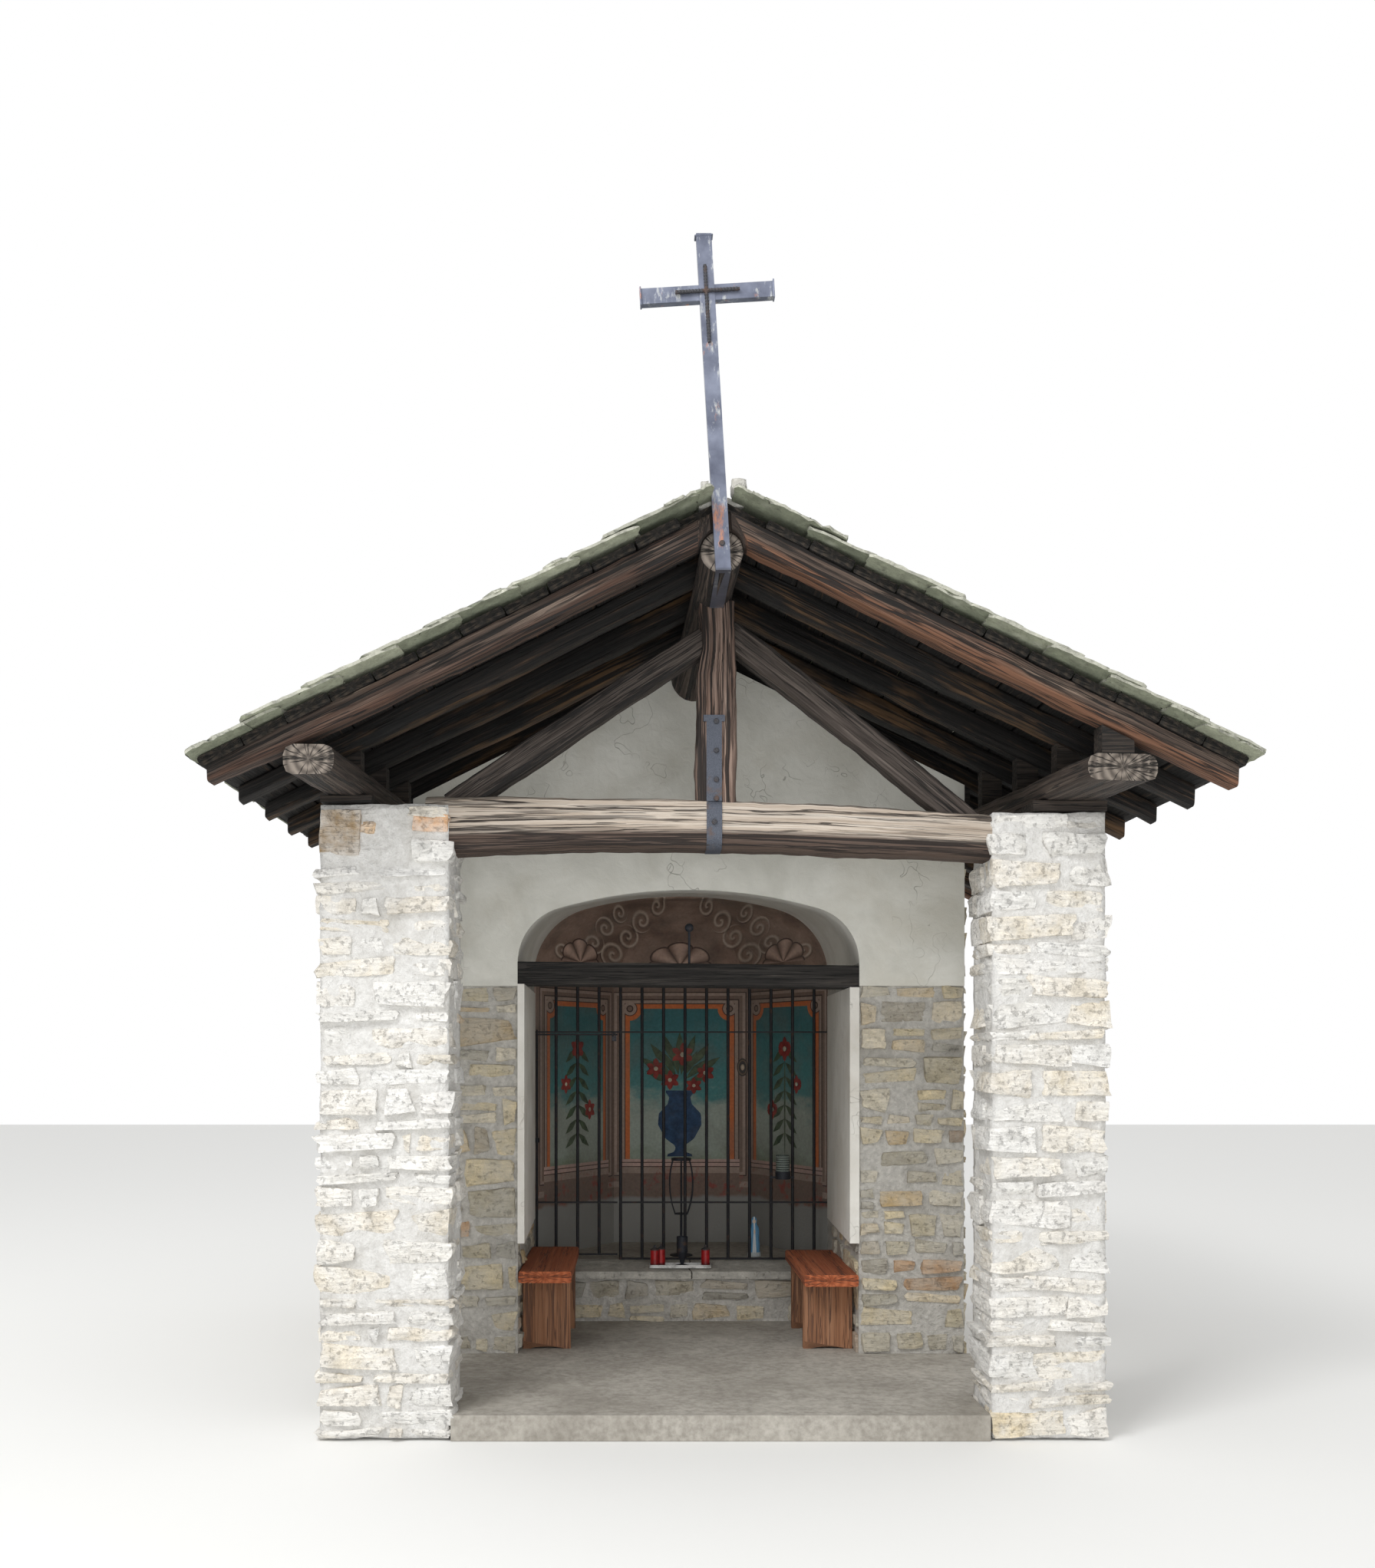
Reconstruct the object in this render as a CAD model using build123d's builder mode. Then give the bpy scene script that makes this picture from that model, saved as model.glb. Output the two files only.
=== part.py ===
from build123d import *

import math
import os

os.makedirs("parts", exist_ok=True)

# Wayside chapel with an open timber porch, in millimetres.
# X runs to the right seen from the front, Y to the back, Z up from the lowest ground.
# The front faces of the two piers stand in the plane y = 0.

# Ground and porch floor
floor_top = 120
floor_back = 2340

# Piers
left_pier_x = (-1870, -1249)
right_pier_x = (1266, 1813)
left_pier_depth = 480
right_pier_depth = 400
left_pier_height = 2857
right_pier_height = 2818
left_pier_top = floor_top + left_pier_height
right_pier_top = floor_top + right_pier_height
pier_chamfer = 28

# Roof lines, measured upright at the ridge
roof_pitch = 26.5
ridge_x = -11
ridge_clearance = 3925
rafter_under = floor_top + ridge_clearance
rafter_rise = 120
deck_rise = 52
slab_low = 22
slab_high = 38
slab_courses = 11
rafter_run = 2250
deck_eave = 15
slab_eave = 37
deck_run = rafter_run + deck_eave
slab_run = deck_run + slab_eave
slope = math.tan(math.radians(roof_pitch))

# Roof places along the building
verge_front = -480
verge_width = 120
rafter_width = 110
rafter_ease = 14
rafter_spacing = 470
rafter_count = 9
rear_verge_y = 4060
deck_front_overhang = 20
slab_front_overhang = 120
deck_back = 4200
slab_back = 4250

# Ridge logs
log_front_y = -440
log_front_x = -13
log_front_drop = 61
log_front_z = rafter_under - log_front_drop
log_front_radius = 93
log_post_y = 200
log_post_x = -25
log_post_drop = 55
log_post_z = rafter_under - log_post_drop
log_post_radius = 97
log_wall_x = -64
log_wall_radius = 132
log_bearing = 215
log_sides = 40
rear_log_radius = 110

# Purlins on the piers, running inward towards the body
left_purlin_x = (-1795, -1650)
right_purlin_x = (1723, 1490)
left_purlin_front = -500
right_purlin_front = -470
left_purlin_size = (220, 124)
right_purlin_size = (325, 119)
left_pad_height = 33
right_pad_height = 47
left_purlin_bottom = left_pier_top + left_pad_height
right_purlin_bottom = right_pier_top + right_pad_height
purlin_round = 50
purlin_bearing = 430
pad_overhang = 20
packed_rafters = 4
block_size = (105, 90)
block_shift = 35
verge_block_width = 140
verge_block_shift = -25

# Tie beam, king post and struts
tie_y = (20, 250)
tie_clearance = (2619, 2648, 2591)
tie_height = (274, 227, 202)
tie_bow_x = -60
tie_round = 60
tie_bearing = 120
post_x = (-102, 87)
post_y = (40, 225)
strut_depth = 124
strut_y = (70, 200)
left_strut_drop = 310
right_strut_drop = 280
left_strut_foot_x = -1198
right_strut_foot_x = 1140
strap_width = 72
strap_thickness = 8
strap_reach = 395
strap_head = (100, 30)
strap_x = -20
post_round = 30
post_saddle = 35

# Cross on the front end of the ridge log
cross_lean = 3.4
cross_width = 66
cross_thickness = 40
cross_foot_drop = 143
cross_height = 1445
cross_head = 254
cross_foot_z = rafter_under - cross_foot_drop
cross_top_z = cross_foot_z + cross_height
cross_arm_z = cross_top_z - cross_head
cross_arm_length = 580
cross_arm_height = 67
cross_arm_thickness = 36
cross_slot_gap = 14
foot_bar = 10

# Body walls
wall_front = 1375
plaster_thickness = 18
body_x = (-1636, 1458)
bay_x = (-1050, 868)
apse_front = 2670
apse_back = 3500
apse_back_x = (-542, 419)
back_wall_thickness = 450
vault_crown_cover = 152
gable_thickness = 400
plaster_edge_height = 2066
plaster_edge_z = floor_top + plaster_edge_height

# Vault, a three-centred arch that rises a little towards the apse
springing_height = 2195
springing = floor_top + springing_height
front_rise = 410
front_shoulder = 320
rear_rise = 518
rear_shoulder = 450
vault_top = springing + rear_rise + vault_crown_cover
apse_steps = 8
apse_groin_lean = 0.5
apse_crown_turn = 78

# Wall plates behind the porch
plate_width = 200
plate_height = 150
plate_inset = 36
plate_notch = 15
plate_back = 4180

# Jamb linings and the painted beam
lining_thickness = (38, 53)
lining_back_thickness = 12
lining_back = 2600
lining_clearance = 620
lining_foot = floor_top + lining_clearance
lintel_depth = 300
lintel_clearance = (2077, 2058)
lintel_height = (126, 122)
lintel_left_z = (floor_top + lintel_clearance[0], floor_top + lintel_clearance[0] + lintel_height[0])
lintel_right_z = (floor_top + lintel_clearance[1], floor_top + lintel_clearance[1] + lintel_height[1])
finial_x = -85
finial_y = 1405
finial_rod_radius = 7
finial_ball_radius = 25
finial_ball_rings = 8
finial_height = 205

# Parapet and sill
parapet_front = 2340
sill_front = 2300
sill_height = 345
sill_edge_drop = 27
sill_edge_thickness = 46
sill_flat_y = 2560
sill_top = floor_top + sill_height
sill_thickness = 45
sill_front_z = (sill_top - sill_edge_drop - sill_edge_thickness, sill_top - sill_edge_drop)

# Grille
grille_y = 2640
bar_radius = 10
bar_count = 13
bar_first_x = -905
bar_spacing = 140
gate_bars = 3
rail_height = 10
rail_depth = 20
bottom_rail_height = 12
lower_rail_height = 713
upper_rail_height = 1822
top_rail_height = 2160
lower_rail_z = floor_top + lower_rail_height
upper_rail_z = floor_top + upper_rail_height
top_rail_z = floor_top + top_rail_height

# Gate leaf in the grille, hung at the left jamb
hinge_x = -1030
stile_radius = 8
pin_radius = 5
running_clearance = 0.1
shoulder_gap = 0.5
gate_gap = 10
gate_head_gap = 6
gate_foot_gap = 30
gate_foot_z = sill_top + gate_foot_gap
socket_height = 20
socket_size = (34, 30)
eye_radius = 16
eye_height = 30
eye_above_sill = 763
eye_z = sill_top + eye_above_sill

# Benches
bench_front = 1340
bench_length = 1030
left_bench_x = (-1044, -747)
right_bench_x = (559, 862)
left_bench_height = 465
right_bench_height = 445
left_bench_top = floor_top + left_bench_height
right_bench_top = floor_top + right_bench_height
seat_thickness = 65
seat_ease = 8
leg_thickness = 55
leg_inset = 160
leg_spacing = 600
leg_narrowing = 12
foot_cut = (92, 14)

# Things on the sill
tray_size = (392, 110, 20)
tray_x = -105
tray_y = 2400
tray_sunk = 13
tray_z = sill_top - tray_sunk
tray_corner = 20
tray_thickness = 4
candle_radius = 27
candle_height = 108
candle_places = ((-266, 2382), (-226, 2420), (56, 2400))
vase_x = -92
vase_y = 2400
vase_z = tray_z + tray_thickness
vase_radius = 35
vase_foot_radius = 48
vase_neck_radius = 10
vase_plate = 6
vase_wall = 3
vase_height = 190

# Things in the apse and on the grille
stand_x = -84
stand_y = 2830
stand_foot_radius = 75
stand_plate = 6
stand_rod = 8
stand_stem = 275
stand_cage_height = 365
stand_cage_z = sill_top + stand_stem
stand_dish_radius = 45
stand_bulge = 88
stand_top_z = stand_cage_z + stand_cage_height
stand_ring_radius = 62
stand_rods = 6
figure_x = 398
figure_y = 2800
figure_radius = 45
figure_plinth = 30
figure_height = 265
jar_x = 565
jar_y = 2570
jar_above_sill = 535
jar_z = sill_top + jar_above_sill
jar_radius = 45
jar_wall = 3
jar_height = 150
holder_thickness = 4
holder_height = 45
holder_arm = 12
medallion_x = 374
medallion_height = 1590
medallion_z = floor_top + medallion_height
medallion_size = (78, 127)
medallion_thickness = 9


def roof_height(base, x):
    """Height of a roof line that is base at the ridge."""
    return base - slope * abs(x - ridge_x)


def roof_face(side, base, rise, run):
    """Upright outline of one even roof layer, from the ridge to the eave."""
    outer = ridge_x + side * run
    Polyline(
        (ridge_x, base),
        (outer, roof_height(base, outer)),
        (outer, roof_height(base, outer) + rise),
        (ridge_x, base + rise),
        close=True,
    )


def stepped_face(side, base, low, high, run, courses):
    """Outline of the stone slabs, where each course steps up over the one below."""
    pitch = run / courses
    points = [(ridge_x, base)]
    for course in range(courses):
        lower_x = ridge_x + side * (run - course * pitch)
        upper_x = ridge_x + side * (run - (course + 1) * pitch)
        if course == 0:
            points.append((lower_x, roof_height(base, lower_x)))
        points.append((lower_x, roof_height(base, lower_x) + high))
        points.append((upper_x, roof_height(base, upper_x) + low))
    Polyline(*points, close=True)


def arch_outline(centre_x, half_span, rise, shoulder):
    """Three-centred arch standing on its springing line, in the XZ plane."""
    crown = ((half_span - shoulder) ** 2 + rise**2 - shoulder**2) / (2 * (rise - shoulder))
    reach = math.hypot(half_span - shoulder, crown - rise)
    turn_x = (half_span - shoulder) / reach
    turn_z = (crown - rise) / reach
    touch = (crown * turn_x, rise - crown + crown * turn_z)
    knee = math.atan2(turn_z, turn_x) / 2
    mid_x = half_span - shoulder + shoulder * math.cos(knee)
    mid_z = shoulder * math.sin(knee)
    z = springing
    ThreePointArc(
        (centre_x - half_span, z),
        (centre_x - mid_x, z + mid_z),
        (centre_x - touch[0], z + touch[1]),
    )
    ThreePointArc(
        (centre_x - touch[0], z + touch[1]),
        (centre_x, z + rise),
        (centre_x + touch[0], z + touch[1]),
    )
    ThreePointArc(
        (centre_x + touch[0], z + touch[1]),
        (centre_x + mid_x, z + mid_z),
        (centre_x + half_span, z),
    )
    Line((centre_x + half_span, z), (centre_x - half_span, z))


def save(builder, name):
    builder.part.label = name
    export_step(builder.part, f"parts/{name}.step")


# Worked out from the sizes above
bay_centre = (bay_x[0] + bay_x[1]) / 2
bay_half = (bay_x[1] - bay_x[0]) / 2
log_wall_z = rafter_under - log_wall_radius / math.cos(math.radians(roof_pitch))
rear_log_z = rafter_under - rear_log_radius / math.cos(math.radians(roof_pitch))
left_plate_x = (body_x[0] + plate_inset, body_x[0] + plate_inset + plate_width)
right_plate_x = (body_x[1] - plate_inset - plate_width, body_x[1] - plate_inset)
left_plate_top = roof_height(rafter_under, left_plate_x[0]) + plate_notch
right_plate_top = roof_height(rafter_under, right_plate_x[1]) + plate_notch
purlin_end = wall_front + purlin_bearing
back_face = apse_back + back_wall_thickness
rafter_ys = [rafter_spacing * index for index in range(rafter_count)]
lintel_front = wall_front - plaster_thickness

# Porch floor, a concrete slab between the piers and into the bay
with BuildPart() as porch_floor:
    with BuildSketch():
        with BuildLine():
            Polyline(
                (left_pier_x[1], 0),
                (right_pier_x[0], 0),
                (right_pier_x[0], right_pier_depth),
                (right_pier_x[1], right_pier_depth),
                (right_pier_x[1], wall_front),
                (bay_x[1], wall_front),
                (bay_x[1], floor_back),
                (bay_x[0], floor_back),
                (bay_x[0], wall_front),
                (left_pier_x[0], wall_front),
                (left_pier_x[0], left_pier_depth),
                (left_pier_x[1], left_pier_depth),
                close=True,
            )
        make_face()
    extrude(amount=floor_top)
save(porch_floor, "porch_floor")

# Tie beam, hewn round at its edges and bowed a little upward, let into both piers
tie_stations = [
    (x, floor_top + clearance, floor_top + clearance + height)
    for x, clearance, height in zip(
        (left_pier_x[1] - tie_bearing, tie_bow_x, right_pier_x[0] + tie_bearing), tie_clearance, tie_height
    )
]
with BuildPart() as tie_beam:
    for x, low, high in tie_stations:
        with BuildSketch(Plane.YZ.offset(x)):
            with Locations(((tie_y[0] + tie_y[1]) / 2, (low + high) / 2)):
                RectangleRounded(tie_y[1] - tie_y[0], high - low, tie_round)
    loft(ruled=True)
save(tie_beam, "tie_beam")


def build_pier(x_range, depth, top):
    """Masonry pier with blunt corners and a pocket for the tie beam."""
    with BuildPart() as pier:
        with BuildSketch():
            with Locations(((x_range[0] + x_range[1]) / 2, depth / 2)):
                Rectangle(x_range[1] - x_range[0], depth)
        extrude(amount=top)
        chamfer(pier.edges().filter_by(Axis.Z), length=pier_chamfer)
        add(tie_beam.part, mode=Mode.SUBTRACT)
    return pier


save(build_pier(left_pier_x, left_pier_depth, left_pier_top), "left_pier")
save(build_pier(right_pier_x, right_pier_depth, right_pier_top), "right_pier")

# Ridge log of the porch, thicker towards the body wall
log_stations = (
    (log_front_y, log_front_x, log_front_z, log_front_radius),
    (log_post_y, log_post_x, log_post_z, log_post_radius),
    (wall_front + log_bearing, log_wall_x, log_wall_z, log_wall_radius),
)
with BuildPart() as ridge_beam:
    for y, x, z, radius in log_stations:
        with BuildSketch(Plane.XZ.offset(-y)):
            with Locations((x, z)):
                RegularPolygon(radius, log_sides)
    loft(ruled=True)
save(ridge_beam, "ridge_beam")

with BuildPart() as rear_ridge_beam:
    with BuildSketch(Plane.XZ.offset(-(wall_front + log_bearing))):
        with Locations((ridge_x, rear_log_z)):
            Circle(rear_log_radius)
    extrude(amount=-(plate_back - wall_front - log_bearing))
save(rear_ridge_beam, "rear_ridge_beam")

# King post between the tie beam and the ridge log
tie_middle_z = (tie_stations[1][1] + tie_stations[1][2]) / 2
tie_top_middle = tie_stations[1][2]
with BuildPart() as king_post:
    with BuildSketch(Plane.XY.offset(tie_top_middle - tie_round)):
        with Locations(((post_x[0] + post_x[1]) / 2, (post_y[0] + post_y[1]) / 2)):
            RectangleRounded(post_x[1] - post_x[0], post_y[1] - post_y[0], post_round)
    extrude(amount=log_post_z - log_post_radius + post_saddle - tie_top_middle + tie_round)
    add(tie_beam.part, mode=Mode.SUBTRACT)
    add(ridge_beam.part, mode=Mode.SUBTRACT)
save(king_post, "king_post")


def tie_top(x):
    """Height of the tie beam's top, which falls away on both sides of its bow."""
    end = tie_stations[0] if x < tie_bow_x else tie_stations[2]
    return tie_top_middle + (end[2] - tie_top_middle) * (x - tie_bow_x) / (end[0] - tie_bow_x)


def build_strut(foot_x, head_x, drop):
    """Brace from the king post's side down to the tie beam, cut by both."""
    strut_top_z = rafter_under - drop
    rise = strut_top_z - tie_top(foot_x)
    run = head_x - foot_x
    length = math.hypot(run, rise) + 2 * strut_depth
    tilt = math.degrees(math.atan2(rise, run))
    centre = ((foot_x + head_x) / 2, (tie_top(foot_x) + strut_top_z) / 2, 0)
    with BuildPart() as strut:
        with BuildSketch(Plane.XZ.offset(-strut_y[0])):
            with Locations(Location(centre, (0, 0, tilt))):
                Rectangle(length, strut_depth)
        extrude(amount=strut_y[0] - strut_y[1])
        add(king_post.part, mode=Mode.SUBTRACT)
        add(tie_beam.part, mode=Mode.SUBTRACT)
        outward = (math.copysign(1, foot_x), 0, 0)
        split(bisect_by=Plane((head_x, 0, 0), z_dir=outward), keep=Keep.TOP)
        split(bisect_by=Plane((0, 0, tie_top(foot_x) - tie_round), z_dir=(0, 0, 1)), keep=Keep.TOP)
    return strut


save(build_strut(left_strut_foot_x, post_x[0], left_strut_drop), "left_strut")
save(build_strut(right_strut_foot_x, post_x[1], right_strut_drop), "right_strut")

# Iron strap round the tie beam and up the king post
strap_out = 2 * strap_thickness
with BuildPart() as king_strap:
    with BuildSketch(Plane.YZ.offset(strap_x - strap_width / 2)):
        with Locations((sum(tie_y) / 2, tie_middle_z)):
            RectangleRounded(
                tie_y[1] - tie_y[0] + strap_out,
                2 * (tie_top_middle - tie_middle_z) + strap_out,
                tie_round + strap_thickness,
            )
        with Locations((post_y[0], tie_middle_z)):
            Rectangle(
                tie_y[1],
                strap_reach,
                align=(Align.MIN, Align.MIN),
                mode=Mode.SUBTRACT,
            )
    extrude(amount=strap_width)
    add(tie_beam.part, mode=Mode.SUBTRACT)
    with BuildSketch(Plane.XY.offset(tie_top_middle - strap_thickness)):
        with Locations((strap_x, post_y[0] - strap_thickness / 2)):
            Rectangle(strap_width, strap_thickness)
    extrude(amount=strap_reach + strap_thickness)
    with BuildSketch(Plane.XZ.offset(-post_y[0])):
        with Locations((strap_x, tie_top_middle + strap_reach - strap_head[1] / 2)):
            Rectangle(*strap_head)
    extrude(amount=strap_thickness)
save(king_strap, "king_strap")


def build_purlin(x_pair, front, size, bottom):
    """Hewn timber, round at its top edges, that runs inward to the body."""
    width, height = size
    drift = (x_pair[1] - x_pair[0]) / (wall_front - front)
    with BuildPart() as purlin:
        for y in (front, purlin_end):
            with BuildSketch(Plane.XZ.offset(-y)):
                x = x_pair[0] + drift * (y - front)
                with Locations((x, bottom + height / 2)):
                    outline = Rectangle(width, height)
                fillet(outline.vertices().group_by(Axis.Y)[-1], purlin_round)
        loft()
    return purlin


left_purlin = build_purlin(left_purlin_x, left_purlin_front, left_purlin_size, left_purlin_bottom)
right_purlin = build_purlin(right_purlin_x, right_purlin_front, right_purlin_size, right_purlin_bottom)
save(left_purlin, "left_purlin")
save(right_purlin, "right_purlin")


def purlin_centre(x_pair, front, y):
    return x_pair[0] + (x_pair[1] - x_pair[0]) * (y - front) / (wall_front - front)


# Plank pads between the pier tops and the purlins
with BuildPart() as pier_pads:
    for depth, x_pair, front, size, low, high in (
        (left_pier_depth, left_purlin_x, left_purlin_front, left_purlin_size,
         left_pier_top, left_purlin_bottom),
        (right_pier_depth, right_purlin_x, right_purlin_front, right_purlin_size,
         right_pier_top, right_purlin_bottom),
    ):
        middle = purlin_centre(x_pair, front, depth / 2)
        with BuildSketch(Plane.XY.offset(low)):
            with Locations((middle, depth / 2)):
                Rectangle(size[0] + pad_overhang, depth - pad_overhang)
        extrude(amount=high - low)
save(pier_pads, "pier_pads")

# Wall plates on the side walls behind the porch
with BuildPart() as wall_plates:
    for x_range, top in ((left_plate_x, left_plate_top), (right_plate_x, right_plate_top)):
        with BuildSketch(Plane.XY.offset(top - plate_height)):
            with Locations(((x_range[0] + x_range[1]) / 2, (purlin_end + plate_back) / 2)):
                Rectangle(plate_width, plate_back - purlin_end)
        extrude(amount=plate_height)
save(wall_plates, "wall_plates")

# Cross bar: the post is bolted to the ridge log's end and leans a little
lean = math.tan(math.radians(cross_lean))


def cross_x(z):
    return log_front_x - lean * (z - log_front_z)


with BuildPart() as cross_post:
    with BuildSketch(Plane.XZ.offset(-log_front_y)):
        with BuildLine():
            Polyline(
                (cross_x(cross_foot_z) - cross_width / 2, cross_foot_z - foot_bar),
                (cross_x(cross_foot_z) + cross_width / 2, cross_foot_z - foot_bar),
                (cross_x(cross_top_z) + cross_width / 2, cross_top_z),
                (cross_x(cross_top_z) - cross_width / 2, cross_top_z),
                close=True,
            )
        make_face()
    extrude(amount=cross_thickness)
    # Foot that turns back under the log to the king post
    with BuildSketch(Plane.XY.offset(cross_foot_z - foot_bar)):
        with Locations((cross_x(cross_foot_z), (log_front_y + post_y[0]) / 2)):
            Rectangle(cross_width, post_y[0] - log_front_y)
    extrude(amount=foot_bar)
    add(ridge_beam.part, mode=Mode.SUBTRACT)
    add(king_post.part, mode=Mode.SUBTRACT)
save(cross_post, "cross_post")

with BuildPart() as cross_arm:
    with BuildSketch(Plane.XZ.offset(-log_front_y)):
        with Locations(Location((cross_x(cross_arm_z), cross_arm_z, 0), (0, 0, cross_lean))):
            Rectangle(cross_arm_length, cross_arm_height)
    extrude(amount=cross_arm_thickness)
    add(cross_post.part, mode=Mode.SUBTRACT)
save(cross_arm, "cross_arm")

# Slot in the verge, through which the cross rises
with BuildPart() as cross_slot:
    slot_low = rafter_under - rafter_rise
    slot_high = rafter_under + 2 * rafter_rise
    with BuildSketch(Plane.XZ.offset(-log_front_y)):
        with BuildLine():
            reach = cross_width / 2 + cross_slot_gap
            Polyline(
                (cross_x(slot_low) - reach, slot_low),
                (cross_x(slot_low) + reach, slot_low),
                (cross_x(slot_high) + reach, slot_high),
                (cross_x(slot_high) - reach, slot_high),
                close=True,
            )
        make_face()
    extrude(amount=rafter_run)

# Rafters, notched over the ridge logs and the purlins
left_seats = (left_purlin, ridge_beam, rear_ridge_beam, wall_plates)
right_seats = (right_purlin, ridge_beam, rear_ridge_beam, wall_plates)


def build_rafters(side, places, width, seats):
    with BuildPart() as rafters:
        for y in places:
            with BuildSketch(Plane.XZ.offset(-y)):
                with BuildLine():
                    roof_face(side, rafter_under, rafter_rise, rafter_run)
                make_face()
            extrude(amount=-width)
        middle = roof_height(rafter_under, ridge_x + rafter_run / 2) + rafter_rise / 2
        arrises = rafters.edges().filter_by(lambda edge: edge.length > rafter_run)
        chamfer(arrises.filter_by(lambda edge: edge.center().Z < middle), length=rafter_ease)
        for seat in seats:
            add(seat.part, mode=Mode.SUBTRACT)
        add(cross_slot.part, mode=Mode.SUBTRACT)
    return rafters


verge_places = (verge_front, rear_verge_y)
left_verge_rafters = build_rafters(-1, verge_places, verge_width, left_seats)
right_verge_rafters = build_rafters(1, verge_places, verge_width, right_seats)
left_rafters = build_rafters(-1, rafter_ys, rafter_width, left_seats)
right_rafters = build_rafters(1, rafter_ys, rafter_width, right_seats)
save(left_verge_rafters, "left_verge_rafters")
save(right_verge_rafters, "right_verge_rafters")
save(left_rafters, "left_rafters")
save(right_rafters, "right_rafters")

# Packing blocks between the purlins and the rafters above them
with BuildPart() as packing_blocks:
    for x_pair, front, size, bottom, inward, first in (
        (left_purlin_x, left_purlin_front, left_purlin_size, left_purlin_bottom, 1, 0),
        (right_purlin_x, right_purlin_front, right_purlin_size, right_purlin_bottom, -1, 0),
    ):
        for y in rafter_ys[first:packed_rafters]:
            x = purlin_centre(x_pair, front, y) + inward * block_shift
            with BuildSketch(Plane.XY.offset(bottom + size[1] - purlin_round)):
                with Locations((x, y + rafter_width / 2)):
                    Rectangle(block_size[0], block_size[1])
            extrude(amount=rafter_under - bottom)
    x = purlin_centre(right_purlin_x, right_purlin_front, verge_front) + verge_block_shift
    with BuildSketch(Plane.XY.offset(right_purlin_bottom + right_purlin_size[1] - purlin_round)):
        with Locations((x, (right_purlin_front + verge_front + verge_width) / 2)):
            Rectangle(verge_block_width, verge_front + verge_width - right_purlin_front)
    extrude(amount=rafter_under - right_purlin_bottom)
    # The blocks end under the rafters
    with BuildSketch(Plane.XZ.offset(-verge_front + verge_width)):
        with BuildLine():
            Polyline(
                (ridge_x - rafter_run, roof_height(rafter_under, ridge_x - rafter_run)),
                (ridge_x, rafter_under),
                (ridge_x + rafter_run, roof_height(rafter_under, ridge_x + rafter_run)),
                (ridge_x + rafter_run, rafter_under + rafter_run),
                (ridge_x - rafter_run, rafter_under + rafter_run),
                close=True,
            )
        make_face()
    extrude(amount=-(purlin_end - verge_front + 2 * verge_width), mode=Mode.SUBTRACT)
    add(left_purlin.part, mode=Mode.SUBTRACT)
    add(right_purlin.part, mode=Mode.SUBTRACT)
save(packing_blocks, "packing_blocks")


def build_roof_layer(outline, front, back):
    with BuildPart() as layer:
        with BuildSketch(Plane.XZ.offset(-front)):
            with BuildLine():
                outline()
            make_face()
        extrude(amount=front - back)
        add(cross_slot.part, mode=Mode.SUBTRACT)
    return layer


deck_base = rafter_under + rafter_rise
slab_base = deck_base + deck_rise
deck_front = verge_front - deck_front_overhang
slab_front = verge_front - slab_front_overhang
for side, hand in ((-1, "left"), (1, "right")):
    deck = build_roof_layer(
        lambda: roof_face(side, deck_base, deck_rise, deck_run), deck_front, deck_back
    )
    save(deck, f"{hand}_roof_deck")
    slabs = build_roof_layer(
        lambda: stepped_face(side, slab_base, slab_low, slab_high, slab_run, slab_courses),
        slab_front,
        slab_back,
    )
    save(slabs, f"{hand}_roof_slabs")

# Side walls, with a step where the porch purlins lie and the wall plates begin
side_walls = {}
for hand, x_range, purlin_seat, plate_seat in (
    ("left", (body_x[0], bay_x[0]), left_purlin_bottom, left_plate_top - plate_height),
    ("right", (bay_x[1], body_x[1]), right_purlin_bottom, right_plate_top - plate_height),
):
    with BuildPart() as side_wall:
        with BuildSketch(Plane.YZ.offset(x_range[0])):
            with BuildLine():
                Polyline(
                    (wall_front, 0),
                    (apse_back, 0),
                    (apse_back, plate_seat),
                    (purlin_end, plate_seat),
                    (purlin_end, purlin_seat),
                    (wall_front, purlin_seat),
                    close=True,
                )
            make_face()
        extrude(amount=x_range[1] - x_range[0])
    side_walls[hand] = side_wall
    save(side_wall, f"{hand}_side_wall")

# Vault over the bay and the apse: a rising arch, then a three-sided half dome
with BuildPart() as bay_void:
    for y, rise, shoulder in (
        (wall_front, front_rise, front_shoulder),
        (apse_front, rear_rise, rear_shoulder),
    ):
        with BuildSketch(Plane.XZ.offset(-y)):
            with BuildLine():
                arch_outline(bay_centre, bay_half, rise, shoulder)
            make_face()
    loft(ruled=True)


def rear_arch_half(height):
    """Half width of the rear arch at a height over the springing."""
    crown = ((bay_half - rear_shoulder) ** 2 + rear_rise**2 - rear_shoulder**2) / (
        2 * (rear_rise - rear_shoulder)
    )
    reach = math.hypot(bay_half - rear_shoulder, crown - rear_rise)
    if height < rear_rise - crown + crown * (crown - rear_rise) / reach:
        return bay_half - rear_shoulder + math.sqrt(rear_shoulder**2 - height**2)
    return math.sqrt(max(crown**2 - (height + crown - rear_rise) ** 2, 0))


# At each level the apse is a trapezoid from the arch to the two groins
with BuildPart() as dome_void:
    for step in range(apse_steps + 1):
        turn = math.radians(apse_crown_turn * step / apse_steps)
        level = rear_rise * math.sin(turn)
        groin = 1 - apse_groin_lean * math.sin(turn)
        back = apse_front + (apse_back - apse_front) * math.cos(turn)
        arch_half = rear_arch_half(level)
        with BuildSketch(Plane.XY.offset(springing + level)):
            with BuildLine():
                Polyline(
                    (bay_centre - arch_half, apse_front),
                    (bay_centre + arch_half, apse_front),
                    (bay_centre + groin * (apse_back_x[1] - bay_centre), back),
                    (bay_centre + groin * (apse_back_x[0] - bay_centre), back),
                    close=True,
                )
            make_face()
    loft(ruled=True)

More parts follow.
